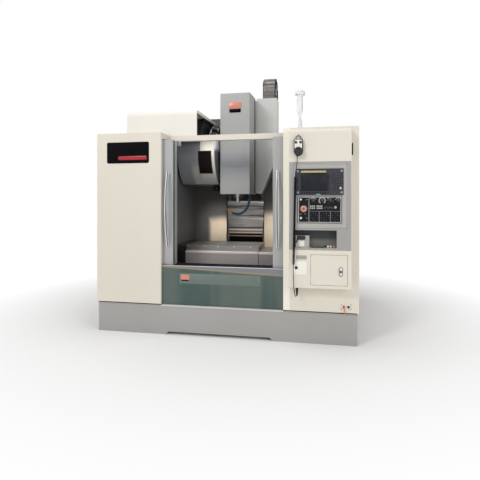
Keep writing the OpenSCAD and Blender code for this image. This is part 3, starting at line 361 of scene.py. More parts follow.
# Housing: a painted reflection makes it paler towards its lower right
tint(drumCoat, "#b3b3af", (toRight, -0.52, -0.46), (upward, 1.82, 1.68))
# Housing: painted shade, black where the hood covers it
tint(drumCoat, "#232528", (upward, 1.96, 2.06))
tint(wingCoat, "#17171a", (toRight, -0.546, -0.549))

# Way covers: painted highlights and painted shade in streaks across the plates, brown and then black towards
# the foot
bendLightAndShade = streaked(waySteel.node_tree, coordsIn(waySteel), (0.9, 0.9, 19), 3, 0.65)
tint(waySteel, "#5b5855", (bendLightAndShade, 0.50, 0.40))
tint(waySteel, "#ece9e4", (bendLightAndShade, 0.60, 0.68))
tint(waySteel, "#7b5138", (upward, 1.03, 0.95), most=0.45)
tint(waySteel, "#1d1613", (upward, 0.920, 0.914))
# Painted highlights and a painted shade line in bands where the plates bend
for low, high, hexText in ((0.880, 0.892, "#b3a699"), (0.920, 0.938, "#cdbcae"), (0.984, 0.993, "#2b2725"),
                           (0.958, 0.978, "#cdc6be")):
    tint(waySteel, hexText, (upward, low - 0.003, low + 0.003), (upward, high + 0.003, high - 0.003),
         most=0.85)

# Top of the table: painted light, a pale band over its top
tint(groundSteel, "#d6d3cf", (upward, 0.838, 0.8395), (upward, 0.844, 0.842))

# Mushroom button: red in the middle and pink round its rim, by the squared distance from its axis
tree = redPlastic.node_tree
fromAxis = addNode(tree, "ShaderNodeMapping", {"Scale": (1, 0, 1), "Location": (-0.817, 0, -1.277)},
                   {"Vector": coordsIn(redPlastic)}).outputs[0]
squared = addNode(tree, "ShaderNodeVectorMath", {"operation": "DOT_PRODUCT"}, {0: fromAxis, 1: fromAxis})
tint(redPlastic, "#e3a297", (squared.outputs["Value"], 0.00012, 0.00030))

# Painted reflections on the apron: broad soft bands down the sheet, and a paler band along the top edge, with
# a tan rim
topEdge = Vector((0.045, 0, 1))
paintedReflectionBands = streaked(stainless.node_tree, coordsIn(stainless), (4.2, 0.5, 0.5), 2, 0.5)
tint(stainless, "#616d68", (paintedReflectionBands, 0.44, 0.66))
tint(stainless, "#a5926f", (topEdge, 0.640, 0.655))
tint(stainless, "#84868c", (topEdge, 0.652, 0.664))

# Painted light on the guard's end and the channel behind the head, paler against the head's shade; painted
# shade darkens the shelf's recess at its top
tint(coverCoat, "#cfcfcc", (toBack, 0.0912, 0.0925))
tint(shelfCoat, "#2c2e34", (upward, 0.965, 1.01))

# Strip of the enclosure between the opening and the console, painted lighter as painted light against the
# console's shade
tint(creamCoat, "#f8f3e6", (toRight, 0.612, 0.616), (toRight, 0.682, 0.676), (toBack, -1.045, -1.052))

# Cover of the head: a painted reflection, cooler and darker across its middle
tint(coverCoat, "#969a9e", (upward, 1.98, 1.80), (upward, 1.52, 1.72), (toBack, -0.28, -0.33), most=0.75)

dressing = {
    creamCoat: ["left_enclosure", "right_enclosure", "door_lintel",
                "console_housing", "console_door", "electrical_cabinet", "cabinet_door"],
    trayCoat: ["chip_tray"], doorCoat: ["left_door", "right_door"], panelCoat: ["operator_panel"],
    coverCoat: ["head_cover", "chain_guard", "chain_channel"], wallCoat: ["inner_walls"],
    drumCoat: ["magazine_housing"], shellCoat: ["magazine_cover"], hoodCoat: ["magazine_hood"],
    wingCoat: ["table_wings"], tanCoat: ["rear_wall"], skirtCoat: ["table_apron"], stainless: ["front_apron"],
    castingCoat: ["bed", "column", "saddle"], blackSheet: ["spindle_head"],
    groundSteel: ["guide_rails", "table", "levelling_feet"],
    waySteel: ["z_cover_base", "z_cover_lower", "z_cover_upper", "z_cover_top"], turnedSteel: ["spindle"],
    chromePlate: ["left_door_handle", "right_door_handle", "console_latch"],
    blackPlastic: ["changing_pot", "drive_motors", "magazine_disc", "mode_knob", "rapid_knob", "feed_knob",
                   "spindle_knob", "energy_chain"],
    padFoil: ["machine_keypad"], unitPlastic: ["display_unit"], redPlastic: ["emergency_stop"],
    whitePlastic: ["mpg_pendant", "lubrication_unit"], hoseBlue: ["coolant_hose"],
    safetyGlass: ["left_door_glass", "right_door_glass"], darkAcrylic: ["magazine_window"],
    lampShell: ["tower_lamp"], rubberSeal: ["handwheel", "axis_knob", "step_knob"],
}
for finish, names in dressing.items():
    for name in names:
        for slot in nodes[name].material_slots:
            slot.material = finish
print("finishes set on", sum(len(n) for n in dressing.values()), "nodes")


# Modelling helpers: places are given as spot takes them, and sizes are in millimetres
creaseAngle = math.radians(35)


def softenEdges(bm, edges, size, segments=2):
    return bmesh.ops.bevel(bm, geom=list(edges), offset=size / 1000, segments=segments, profile=0.5,
                           affect="EDGES", material=-1)["verts"]


def newBlock(bm, low, high, finish):
    low, high = spot(*low), spot(*high)
    verts = bmesh.ops.create_cube(bm, size=1)["verts"]
    bmesh.ops.scale(bm, vec=high - low, verts=verts)
    bmesh.ops.translate(bm, vec=(low + high) / 2, verts=verts)
    for face in {f for v in verts for f in v.link_faces}:
        face.material_index = finish
    return {e for v in verts for e in v.link_edges}


def addBox(bm, low, high, edge=0.0, segments=2, finish=0):
    edges = newBlock(bm, low, high, finish)
    if edge:
        softenEdges(bm, edges, edge, segments)


# Flat plate that looks to the front, with rounded corners
def addPlate(bm, low, high, corner, edge=0.8, finish=0):
    edges = newBlock(bm, low, high, finish)
    uprights = [e for e in edges if abs(e.verts[0].co.y - e.verts[1].co.y) > 1e-6]
    front = spot(*low).y
    rounded = softenEdges(bm, uprights, corner, 6)
    rim = {e for v in rounded for e in v.link_edges if all(abs(w.co.y - front) < 1e-6 for w in e.verts)}
    softenEdges(bm, rim, edge)


# Four bars round a rectangle (x0, z0, x1, z1) that looks to the front
def addFrame(bm, rectangle, wide, front, back, edge, segments=2, finish=0):
    x0, z0, x1, z1 = rectangle
    for low, high in (((x0 - wide, z0 - wide), (x1 + wide, z0)), ((x0 - wide, z1), (x1 + wide, z1 + wide)),
                      ((x0 - wide, z0), (x0, z1)), ((x1, z0), (x1 + wide, z1))):
        addBox(bm, (low[0], front, low[1]), (high[0], back, high[1]), edge, segments, finish)


def addRound(bm, start, end, radius, endRadius=None, sides=32, edge=0.0, finish=0):
    start, end = spot(*start), spot(*end)
    axis = end - start
    place = Matrix.Translation((start + end) / 2) @ axis.to_track_quat("Z", "Y").to_matrix().to_4x4()
    made = bmesh.ops.create_cone(bm, cap_ends=True, segments=sides, radius1=radius / 1000,
                                 radius2=(radius if endRadius is None else endRadius) / 1000,
                                 depth=axis.length, matrix=place)
    faces = {f for v in made["verts"] for f in v.link_faces}
    for face in faces:
        face.material_index = finish
    if edge:
        softenEdges(bm, {e for f in faces if len(f.verts) > 4 for e in f.edges}, edge)


# Profile of (radius, distance along the axis), turned round the axis through the start point
def addTurned(bm, start, profile, steps=40, finish=0, axis=toFront):
    start = spot(*start)
    side = axis.orthogonal().normalized()
    verts = [bm.verts.new(start + side * (r / 1000) + axis * (d / 1000)) for r, d in profile]
    edges = [bm.edges.new(pair) for pair in zip(verts, verts[1:])]
    before = set(bm.faces)
    bmesh.ops.spin(bm, geom=verts + edges, cent=start, axis=axis, angle=math.tau, steps=steps, use_merge=True)
    faces = [f for f in bm.faces if f not in before]
    bmesh.ops.remove_doubles(bm, verts=list({v for f in faces for v in f.verts}), dist=1e-6)
    faces = [f for f in bm.faces if f not in before]
    for face in faces:
        face.material_index = finish
    bmesh.ops.recalc_face_normals(bm, faces=faces)


# Place on a circle that looks to the front, its angle counted from straight up, standing out by a distance
def around(centre, radius, angle, out=0):
    x, y, z = centre
    return x + radius * math.sin(angle), y - out, z + radius * math.cos(angle)


# Flat arc band standing on a face that looks to the front, between two angles in degrees
def addArc(bm, centre, inner, outer, fromAngle, toAngle, thick, finish):
    start = math.radians(fromAngle)
    outline = ((inner, 0), (outer, 0), (outer, thick), (inner, thick))
    face = bm.faces.new([bm.verts.new(spot(*around(centre, radius, start, out))) for radius, out in outline])
    before = set(bm.faces) - {face}
    bmesh.ops.spin(bm, geom=[face, *face.edges, *face.verts], cent=spot(*centre), axis=toBack,
                   angle=math.radians(toAngle - fromAngle), steps=max(4, int(abs(toAngle - fromAngle) / 8)))
    made = [f for f in bm.faces if f not in before]
    for each in made:
        each.material_index = finish
    bmesh.ops.recalc_face_normals(bm, faces=made)


# Grip ribs round a knob that looks to the front; start and end are (radius, distance out) from its centre
def addRibs(bm, centre, count, start, end, size):
    for k in range(count):
        angle = k * math.tau / count
        foot, tip = [around(centre, radius, angle, out) for radius, out in (start, end)]
        addRound(bm, foot, tip, size, sides=6)


# Socket-head screw whose head stands on a face
def addScrew(bm, place, radius, height, finish=0, out=toFront):
    addTurned(bm, place, [(radius, 0), (radius, height - 0.6), (radius - 0.6, height), (radius * 0.5, height),
                          (radius * 0.5, height * 0.35), (0.01, height * 0.35)], 14, finish, out)


def addScrews(bm, xs, y, zs, radius, height, finish=0):
    for x in xs:
        for z in zs:
            addScrew(bm, (x, y, z), radius, height, finish)


# Puts a part that was made round the zero point in its place, turned by a matrix
def addMoved(bm, part, place, turn):
    move = Matrix.Translation(spot(*place)) @ turn @ Matrix.Translation(-spot(0, 0, 0))
    bmesh.ops.transform(part, matrix=move, verts=part.verts)
    mesh = bpy.data.meshes.new("part")
    part.to_mesh(mesh)
    part.free()
    bm.from_mesh(mesh)
    bpy.data.meshes.remove(mesh)


def finishPiece(name, bm, finishes, body):
    mesh = bpy.data.meshes.new(name)
    bm.to_mesh(mesh)
    bm.free()
    for finish in finishes:
        mesh.materials.append(finish)
    mesh.shade_smooth()
    mesh.set_sharp_from_angle(angle=creaseAngle)
    piece = bpy.data.objects.new(name, mesh)
    bpy.context.scene.collection.objects.link(piece)
    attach(piece, body)
    return piece


# Energy chain
chainSize = {"x0": 255, "x1": 417, "thick": 55, "radius": 150, "y": 1380, "z": 2740, "leg": 395,
             "legLinks": 7, "bendLinks": 8, "side": 11, "bar": 3.4, "pin": 11}


def chainLinks(s):
    bm = bmesh.new()
    half = s["thick"] / 2
    legPitch = s["leg"] / s["legLinks"]
    step = math.pi / s["bendLinks"]
    chord = 2 * s["radius"] * math.sin(step / 2)
    reach = s["radius"] * math.cos(step / 2)
    places = []
    for i in range(s["legLinks"]):
        low = s["z"] - s["leg"] + (i + 0.5) * legPitch
        places += [(s["y"] + side * s["radius"], low, 0.0, legPitch) for side in (-1, 1)]
    for i in range(s["bendLinks"]):
        angle = (i + 0.5) * step
        places.append((s["y"] - reach * math.cos(angle), s["z"] + reach * math.sin(angle), angle, chord))
    for index, (y, z, angle, pitch) in enumerate(places):
        inset = 0 if index % 2 else 3
        link = bmesh.new()
        for x0 in (s["x0"] + inset, s["x1"] - s["side"] - inset):
            x1 = x0 + s["side"]
            addBox(link, (x0, 3 - half, -pitch / 2 - 9), (x1, half - 3, pitch / 2 + 9), 6, 3)
            for end in (-pitch / 2, pitch / 2):
                addRound(link, (x0 - 0.2, 0, end), (x1 + 0.2, 0, end), s["pin"], sides=20)
        for y0 in (-half + 0.5, half - s["bar"] - 0.5):
            for slat in range(3):
                z0 = pitch * ((slat + 0.16) / 3 - 0.5)
                z1 = z0 + pitch * 0.23
                addBox(link, (s["x0"] + 9, y0, z0), (s["x1"] - 9, y0 + s["bar"], z1), 1.2, 2, 1)
        addMoved(bm, link, (0, y, z), Matrix.Rotation(-angle, 4, "X"))
    return finishPiece("energyChainLinks", bm, [chainPlastic, barPlastic], "chain")


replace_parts(chainLinks(chainSize), "energy_chain")
print("energy chain made")

# Hand pendant
pendant = {"x": 769, "half": 42, "z0": 1764, "z1": 1945, "shoulder": 1916, "front": -156, "back": -110,
           "corner": 13, "wheelZ": 1804, "marks": 50, "knobZ": 1886, "knobs": (747, 791)}


def pendantBody(s):
    bm = bmesh.new()
    x, half, front, back = s["x"], s["half"], s["front"], s["back"]
    shoulder, wheelZ = s["shoulder"], s["wheelZ"]
    centre = (x, front, wheelZ)
    # Rubber shell, square above and round below, with a white plate let into its front
    addBox(bm, (x - half, front + 4, wheelZ), (x + half, back, shoulder), s["corner"], 4, 1)
    addRound(bm, (x, front + 4, wheelZ + 2), (x, back, wheelZ + 2), half, sides=48, edge=4, finish=1)
    addPlate(bm, (x - half + 8, front + 1, s["z0"] + 44), (x + half - 8, front + 10, shoulder - 7), 12, 1.6)
    # Neck with a bare pale field
    addBox(bm, (x - 24, front + 14, shoulder - 20), (x + 24, back - 1, s["z1"]), 9, 4, 1)
    addPlate(bm, (x - 17, front + 12, shoulder - 4), (x + 17, front + 18, s["z1"] - 7), 6, 1.2, 4)
    # Black dial under the wheel, pale ones under the knobs, and marks round the wheel
    addRound(bm, (x, front + 4, wheelZ), centre, 40, sides=48, edge=1, finish=2)
    for knobX in s["knobs"]:
        addRound(bm, (knobX, front + 4, s["knobZ"]), (knobX, front + 0.6, s["knobZ"]), 15, edge=0.6, finish=3)
    for k in range(s["marks"]):
        angle = k * math.tau / s["marks"]
        inner = 39.2 if k % 5 else 37.6   # every fifth mark is longer
        addRound(bm, around(centre, inner, angle), around(centre, 39.6, angle), 0.35, sides=4, finish=3)
    # Nut that the cord comes out of
    addTurned(bm, (758, -133, s["z0"]), [
        (0.01, -2), (8, -2), (8, 2), (6.2, 4), (6.2, 8), (4, 14), (0.01, 14)], 20, 1, -upward)
    return finishPiece("pendantBody", bm, [whitePlastic, rubberSeal, blackPlastic, lightInk, frameCoat],
                       "machine")


def pendantHook(s):
    bm = bmesh.new()
    x, top = s["x"], s["z1"]
    addBox(bm, (x - 12, -116, top - 6), (x + 12, -110.5, top + 16), 2.5, 3)
    addBox(bm, (x - 12, -126, top - 0.5), (x + 12, -110.5, top + 4), 1.8, 3)
    addScrew(bm, (x, -116, top + 10), 3.2, 1.6, 1)
    return finishPiece("pendantHook", bm, [panelCoat, rubberSeal], "machine")


def crankWheel(s):
    bm = bmesh.new()
    centre = (s["x"], s["front"], s["wheelZ"])
    addTurned(bm, centre, [(0.01, 0.6), (37, 0.6), (38, 2), (38, 13), (36.5, 15.5), (33, 16.2), (31, 14.5),
                           (12, 14.5), (10, 16.2), (0.01, 16.2)], 64)
    addRibs(bm, centre, 40, (37.2, 3), (37.2, 12.5), 1.1)
    # Finger knob
    addTurned(bm, (s["x"], s["front"] - 16, s["wheelZ"] + 26), [
        (0.01, -1), (6, -1), (5, 2), (7.6, 8), (8, 15), (6.5, 20), (3, 22), (0.01, 22)], 28)
    return finishPiece("crankWheel", bm, [blackPlastic], "crank_wheel")


def selectorKnob(name, x, body, s):
    bm = bmesh.new()
    y, z = s["front"], s["knobZ"]
    addTurned(bm, (x, y, z), [
        (0.01, 0.4), (11, 0.4), (11, 4), (9, 6), (8.4, 13), (7.4, 14), (0.01, 14)], 32)
    addRibs(bm, (x, y, z), 12, (8.5, 6), (8.1, 13), 1.1)
    addBox(bm, (x - 1, y - 14.8, z + 1), (x + 1, y - 13.6, z + 8), 0.3, 1, 1)   # pointer
    return finishPiece(name, bm, [blackPlastic, lightInk], body)


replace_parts(pendantBody(pendant), "mpg_pendant")
pendantHook(pendant)
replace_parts(crankWheel(pendant), "handwheel")
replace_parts(selectorKnob("axisSelector", pendant["knobs"][0], "axis_selector", pendant), "axis_knob")
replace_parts(selectorKnob("stepSelector", pendant["knobs"][1], "step_selector", pendant), "step_knob")
print("hand pendant made")

# Display and keypad
display = {"x0": 746, "x1": 1173, "z0": 1403, "z1": 1644, "face": -120, "screen": (796, 1444, 1018, 1602)}
keypad = {"x0": 760, "x1": 1159, "z0": 1145, "z1": 1394, "face": -116, "knobZ": 1353,
          "knobs": {"mode_knob": 903, "rapid_knob": 983, "feed_knob": 1055, "spindle_knob": 1127}}


def displayTrim(s):
    bm = bmesh.new()
    x0, z0, x1, z1 = s["screen"]
    face = s["face"]
    # Screen with its rim, and a bare yellow strip over it
    addBox(bm, (x0 + 0.5, face + 1.5, z0 + 0.5), (x1 - 0.5, face + 3.6, z1 - 0.5), 0.8)
    addFrame(bm, s["screen"], 5, face - 0.8, face + 0.4, 0.5, 1, 1)
    addBox(bm, (x0 - 4, face - 0.9, z1 + 6), (x1, face + 0.4, z1 + 24), 0.6, 2, 2)
    # Pale blue corners and a tab under the screen
    for x in (s["x0"] + 8, s["x1"] - 27):
        for z in (s["z0"] + 15, s["z1"] - 31):
            addBox(bm, (x, face - 1.4, z), (x + 18, face + 0.4, z + 18), 2.5, 3, 3)
    addBox(bm, (928, face - 1.3, s["z0"] + 1), (968, face + 0.4, s["z0"] + 11), 1.8, 2, 3)
    # Block of keys with a mark on each, a row of keys under the screen and a column beside it
    for row in range(7):
        for col in range(5):
            x, z = 1062 + col * 22, z0 + 2 + row * 22.5
            addBox(bm, (x + 0.7, face - 3.6, z + 0.7), (x + 15.3, face - 1.2, z + 15.3), 1.6, 3, 1)
            half = 2.5 if (row * 3 + col) % 4 else 4
            addBox(bm, (x + 8 - half, face - 3.8, z + 6), (x + 8 + half, face - 3.4, z + 10), 0, 1, 4)
    for col in range(10):
        x, z = x0 - 2 + col * 23.5, s["z0"] + 12
        addBox(bm, (x + 0.7, face - 3.4, z + 0.7), (x + 14.3, face - 1.2, z + 14.3), 1.6, 3, 1)
    for row in range(8):
        z = z0 + 2 + row * 19.5
        addBox(bm, (1028, face - 3.4, z), (1042, face - 1.2, z + 13), 1.6, 3, 1)
    addRound(bm, (1146, face - 1.5, 1466), (1146, face - 5.2, 1466), 8.5, sides=28, edge=1.4, finish=5)
    return finishPiece("displayTrim", bm,
                       [screenGlass, keyPlastic, yellowFoil, bluePad, lightInk, whitePlastic],
                       "machine")


def keypadTrim(s):
    bm = bmesh.new()
    face, knobZ = s["face"], s["knobZ"]
    mode, rapid, feed, spindle = s["knobs"].values()

    # Printed or raised field between two corners
    def line(x0, z0, x1, z1, finish=1, proud=0.7):
        addBox(bm, (x0, face - proud, z0), (x1, face + 0.3, z1), 0.3, 1, finish)

    # Pale frame, raised at its right and foot, and the darker lines inside it
    line(765, 1150, 774, 1390)
    line(1145, 1150, 1154, 1390, 1, 3.8)
    line(774, 1150, 1145, 1157, 1, 3.8)
    line(774, 1381, 1145, 1390)
    line(859, 1157, 869, 1383, 2)
    line(954, 1157, 960, 1252, 2)
    line(1054, 1157, 1060, 1252, 2)
    line(869, 1253, 1146, 1257, 2)
    # Two groups of small fields, and five rings beside them
    for x0, pitch, wide, cols in ((874, 17, 12, 3), (934, 13.4, 11.6, 4)):
        for col in range(cols):
            for row in range(2):
                x = x0 + col * pitch
                line(x, 1276 + row * 19, x + wide, 1289 + row * 19)
    for col in range(5):
        addArc(bm, (1004 + col * 17, face, 1284 + (col % 2) * 8), 5, 7, 0, 352, 0.7, 2)
    # Scales round the knobs, in steps round the feed knob
    scales = [(mode, 29, -62, 62), (rapid, 32, -145, 145), (spindle, 29, -75, 62), (feed, 35, -52, -36)]
    for x, outer, fromAngle, toAngle in scales:
        addArc(bm, (x, face, knobZ), 23, outer, fromAngle, toAngle, 0.6, 1)
    for k in range(-3, 5):
        addArc(bm, (feed, face, knobZ), 24, 29, k * 30 - 2.5, k * 30 + 2.5, 0.6, 1)
    # Two white push buttons
    for x, z, r in ((791, 1191, 8.5), (791, 1362, 8)):
        addTurned(bm, (x, face, z), [
            (0.01, 5), (r + 3, 5), (r + 3, 1), (r + 3, -0.5), (r + 2, 3), (r, 6.5), (r - 3, 7.8),
            (0.01, 8.2)], 32)
    # Ring round the stop button, bare fields beside the push buttons, and the key switch
    addArc(bm, (817, face, 1277), 28, 34, 0, 352, 0.8, 2)
    for x, z in ((845, 1362), (845, 1191), (791, 1228), (830, 1230)):
        line(x - 6, z - 5, x + 6, z + 5, 2)
    addTurned(bm, (1101, face, 1291), [(0.01, 4), (3, 4), (7, 5), (11, 4.2), (12, 0.2), (12, -0.5)], 28, 3)
    # Three blocks of keys, most with a mark
    for x0, pitch, size in ((874, 20, 15), (968, 22, 16), (1067, 22, 16)):
        for col in range(4):
            for row in range(5):
                x, z = x0 + col * pitch, s["z0"] + 4 + row * 20
                low, high = (x + 0.6, face - 3.4, z + 0.6), (x + size - 0.6, face - 1.2, z + size - 0.6)
                addBox(bm, low, high, 1.5, 2, 4)
                if (row + col) % 3 != 1:
                    addBox(bm, (x + 5, face - 3.6, z + 5.2), (x + size - 5, face - 3.2, z + 8.4), 0, 1, 2)
    addScrews(bm, (s["x0"] + 3.5, s["x1"] - 3.5), face, (s["z0"] + 3.5, s["z1"] - 3.5), 2.4, 1.4, 3)
    return finishPiece("keypadTrim", bm, [whitePlastic, lightInk, midInk, zincPlate, keyPlastic], "machine")


def rotaryKnob(name, x, body, s):
    bm = bmesh.new()
    y, z = s["face"] - 0.3, s["knobZ"]
    addTurned(bm, (x, y, z), [
        (0.01, 0.2), (20, 0.2), (20, 3.5), (17, 5.5), (14.5, 7), (13.5, 18.5), (12.3, 20), (0.01, 20)])
    addRibs(bm, (x, y, z), 16, (14.5, 7), (13.6, 18), 1.5)
    addBox(bm, (x - 1.3, y - 20.8, z - 1), (x + 1.3, y - 19.6, z + 12), 0.4, 1, 1)   # pointer
    addBox(bm, (x - 1.3, y - 5.6, z + 15), (x + 1.3, y - 3, z + 20), 0.3, 1, 1)   # its end on the skirt
    return finishPiece(name, bm, [blackPlastic, lightInk], body)


displayTrim(display)
keypadTrim(keypad)
for node, body in (("mode_knob", "mode_selector"), ("rapid_knob", "rapid_selector"),
                   ("feed_knob", "feed_selector"), ("spindle_knob", "speed_selector")):
    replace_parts(rotaryKnob(body.replace("_s", "S"), keypad["knobs"][node], body, keypad), node)
print("display and keypad made")

# Console trim
console = {"face": -110, "plate": (723, 668, 846, 793), "recess": (718, 913, 1115, 1080), "lock": (1149, 705)}


def consoleTrim(s):
    bm = bmesh.new()
    face = s["face"]
    x0, z0, x1, z1 = s["plate"]
    # Socket plate and the greenish strip over it
    addPlate(bm, (x0, face - 2.2, z0), (x1, face + 0.3, z1), 3)
    addPlate(bm, (750, face - 1.2, 812), (843, face + 0.3, 847), 2, 0.5, 4)
    # Gland under the console that the cord goes up into
    addTurned(bm, (752, -60, 549), [(0.01, -2), (15, -2), (15, 4), (12.6, 6), (12.6, 40), (11.4, 42),
                                    (11, 58), (8, 76), (5.4, 86), (0.01, 86)], 28, 1, -upward)
    # Rosettes of the two sockets
    for x, finish in ((748, 1), (802, 0)):
        addTurned(bm, (x, face - 2, 732), [(0.01, 3), (9, 3), (12, 4.2), (14, 3.4), (14.5, -0.4)], 32, finish)
    addScrews(bm, (x0 + 8, x1 - 8), face - 2, (z0 + 14, z1 - 14), 2.6, 1.3, 2)
    # Black rubber pad on the console's right side
    addBox(bm, (1251, -92, 1768), (1259, -48, 1878), 3, 3, 3)
    addBox(bm, (1245, -84, 1776), (1252, -56, 1870), 1, 1, 3)
    addScrews(bm, (692, 1232), face, (906, 1300, 1701), 3.4, 1.8, 2)
    return finishPiece("consoleTrim", bm, [whitePlastic, blackPlastic, zincPlate, rubberSeal, stripCoat],
                       "machine")


def shelfSockets(s):
    bm = bmesh.new()
    x0, z0, x1, z1 = s["recess"]
    face = s["face"]
    back = face + 92
    # Back of the recess, and the grey housing at its left with a white and a black plug
    addBox(bm, (x0 + 1, back - 2.2, z0 + 1), (x1 - 1, back - 0.2, z1 - 1), 0.5, 1, 4)
    addBox(bm, (741, face + 36, z0 + 0.4), (864, face + 40, 1028), 1.2)
    addBox(bm, (862, face + 36, z0 + 0.4), (866, back - 1, 1028), 1.2)
    addBox(bm, (764, face + 31, 925), (822, face + 36.4, 985), 2.5, 3, 2)
    addBox(bm, (752, face + 6, 992), (830, face + 36, 1026), 8, 3, 1)
    addRound(bm, (764, face + 12, 1000), (744, face + 4, 960), 7, 5, 20, 1, 1)
    # Row of four plugs and a low black block beside them
    for x, finish in ((1012, 1), (1036, 2), (1062, 2), (1092, 3)):
        addRound(bm, (x, back - 22, z0 + 12), (x, back - 2, z0 + 12), 9, sides=24, edge=2, finish=finish)
    addBox(bm, (885, back - 40, z0 + 0.4), (1000, back - 14, z0 + 7), 2.5, 2, 1)
    return finishPiece("shelfSockets", bm, [frameCoat, blackPlastic, whitePlastic, redPlastic, shelfCoat],
                       "machine")


def lockPlate(s):
    bm = bmesh.new()
    x, z = s["lock"]
    face = s["face"]
    # Zinc plate on a black one
    addPlate(bm, (x - 16.5, face - 4.4, z - 42), (x + 16.5, face - 0.4, z + 42), 16.2, 1.4, 2)
    addPlate(bm, (x - 13, face - 5.4, z - 38.5), (x + 13, face - 2, z + 38.5), 12.8, 0.9, 1)
    # Push button, key barrel with its slot, and the black grip between them
    addTurned(bm, (x, face - 5.4, z + 23), [(13, -1), (13, 2.4), (11, 6), (6, 7.6), (0.01, 8.2)], 36)
    addTurned(bm, (x, face - 5.4, z - 24), [(11.5, -1), (11.5, 1.5), (9, 3), (3, 3.4), (0.01, 3.4)], 36)
    addBox(bm, (x - 1, face - 9.4, z - 30), (x + 1, face - 8.4, z - 18), 0.2, 1, 2)
    addBox(bm, (x - 8, face - 7, z - 9), (x + 8, face - 4, z + 8), 2, 2, 2)
    return finishPiece("lockPlate", bm, [brightSteel, zincPlate, blackPlastic], "locker_latch")


frameBar = {"x0": 727, "x1": 1208, "z0": 1100, "z1": 1691, "wide": 9, "face": -114}


def raisedFrame(s):
    bm = bmesh.new()
    left, right, low, high, wide, face = [s[k] for k in ("x0", "x1", "z0", "z1", "wide", "face")]
    for x0, z0, x1, z1 in ((left, low, right, low + wide), (left, high - wide, right, high),
                           (left, low, left + wide, high), (right - wide, low, right, high)):
        addBox(bm, (x0, face - 0.4, z0), (x1, face + 4.4, z1), 1.2)
    addBox(bm, (left + wide, face + 3.4, low + wide), (right - wide, face + 4.2, high - wide), 0.2, 1)
    return finishPiece("raisedFrame", bm, [frameCoat], "machine")


consoleTrim(console)
shelfSockets(console)
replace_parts(lockPlate(console), "console_latch")
raisedFrame(frameBar)
print("console trim made")

# Plates on the enclosure and the head
frontPlate = {"x0": -1208, "x1": -746, "z0": 1735, "z1": 1952, "bar": (-1081, 1769, -770, 1808)}
headPlate = {"x0": -70, "x1": 78, "z0": 2366, "z1": 2486, "split": 2412, "face": 715}
airPlate = {"x0": 1156, "x1": 1252, "z0": 338, "z1": 388, "ports": (1181, 1224), "portZ": 363,
            "tube": [(1181, -12, 363), (1182, -24, 360), (1184, -30, 348), (1188, -30, 330), (1192, -27, 312),
                     (1194, -22, 301)]}


def plateOnFront(s):
    bm = bmesh.new()
    addPlate(bm, (s["x0"], -3.4, s["z0"]), (s["x1"], 0.4, s["z1"]), 16, 1)
    x0, z0, x1, z1 = s["bar"]
    addPlate(bm, (x0, -4.4, z0), (x1, -3.2, z1), 10, 0.8, 1)
    return finishPiece("frontPlate", bm, [plateAcrylic, redAcrylic], "machine")


def plateOnHead(s):
    bm = bmesh.new()
    x0, x1, face, split = s["x0"], s["x1"], s["face"], s["split"]
    addPlate(bm, (x0, face - 3, split), (x1, face + 0.3, s["z1"]), 11, 1)
    addPlate(bm, (x0 + 6, face - 3.4, s["z0"]), (x1 - 8, face + 0.3, split - 4), 9, 1, 1)
    return finishPiece("headPlate", bm, [coralAcrylic, plateAcrylic], "head")


def plateWithPorts(s):
    bm = bmesh.new()
    x0, x1, z0, z1 = s["x0"], s["x1"], s["z0"], s["z1"]
    addPlate(bm, (x0, -3, z0), (x1, 0.3, z1), 3)
    addScrews(bm, (x0 + 6, x1 - 6), -3, (z0 + 5, z1 - 5), 3.6, 1.6, 3)
    for x, finish in zip(s["ports"], (2, 3)):
        addTurned(bm, (x, -3, s["portZ"]), [
            (0.01, 8), (4, 8), (4, 16), (7, 16), (8, 12), (8, 6), (11, 5), (11, -0.5)], 28, finish)
    tube = smoothRoute([Vector(p) for p in s["tube"]], 4)
    for a, b in zip(tube, tube[1:]):
        reach = (b - a).length + 1
        addTurned(bm, a, [(0.01, -1), (5.4, -1), (5.4, reach), (0.01, reach)], 16, 1, (b - a).normalized())
    return finishPiece("portPlate", bm, [creamCoat, airTube, redAcrylic, blackPlastic], "machine")


plateOnFront(frontPlate)
plateOnHead(headPlate)
plateWithPorts(airPlate)
print("plates made")

# Spindle head trim
headCover = {"half": 172, "front": 715, "hatch": (-109, 1748, 109, 2040),
             "sideScrews": (2222, 2086, 1800, 1764)}
spindleSize = {"y": 890, "keyZ": 1333.5, "ringZ": 1403.2, "ringScrews": 52.5}
hose = {"links": 26, "nozzle": 4, "size": 18.5, "taper": 5,
        "path": [(150, 860, 1470), (150, 858, 1400), (146, 856, 1345), (134, 854, 1300), (114, 852, 1258),
                 (86, 850, 1222), (52, 849, 1200), (14, 848, 1192), (-26, 848, 1196), (-62, 848, 1208),
                 (-92, 848, 1226), (-124, 848, 1250)]}


def headTrim(s):
    bm = bmesh.new()
    half, front = s["half"], s["front"]
    x0, z0, x1, z1 = s["hatch"]
    addScrews(bm, (x0 + 9, 0, x1 - 9), front - 2, (z0 + 9, z1 - 9), 4, 2.2)
    addScrew(bm, (128, front, 1507), 9, 4)
    for z in s["sideScrews"]:
        for y in (745, 1120):
            addScrew(bm, (half, y, z), 4.5, 2.4, 0, toRight)
    # Flange of the chain guard with its screws
    addBox(bm, (half - 0.5, 1153, 1441), (190.6, 1157, 2597), 0.8, 1, 1)
    addScrews(bm, [181], 1153, (1500, 1800, 2100, 2400, 2560), 3.6, 2)
    # Rim at the cover's foot, and a dark rubber strip along its right side, standing in as painted shade in
    # the gap to the guard
    addBox(bm, (-half - 0.4, front - 3.6, 1440), (half + 0.4, front + 2, 1446), 1, 1, 1)
    addBox(bm, (half - 0.5, 1074, 1442), (half + 0.5, 1144, 2596), 0.4, 1, 2)
    return finishPiece("headTrim", bm, [zincPlate, coverCoat, rubberSeal], "head")


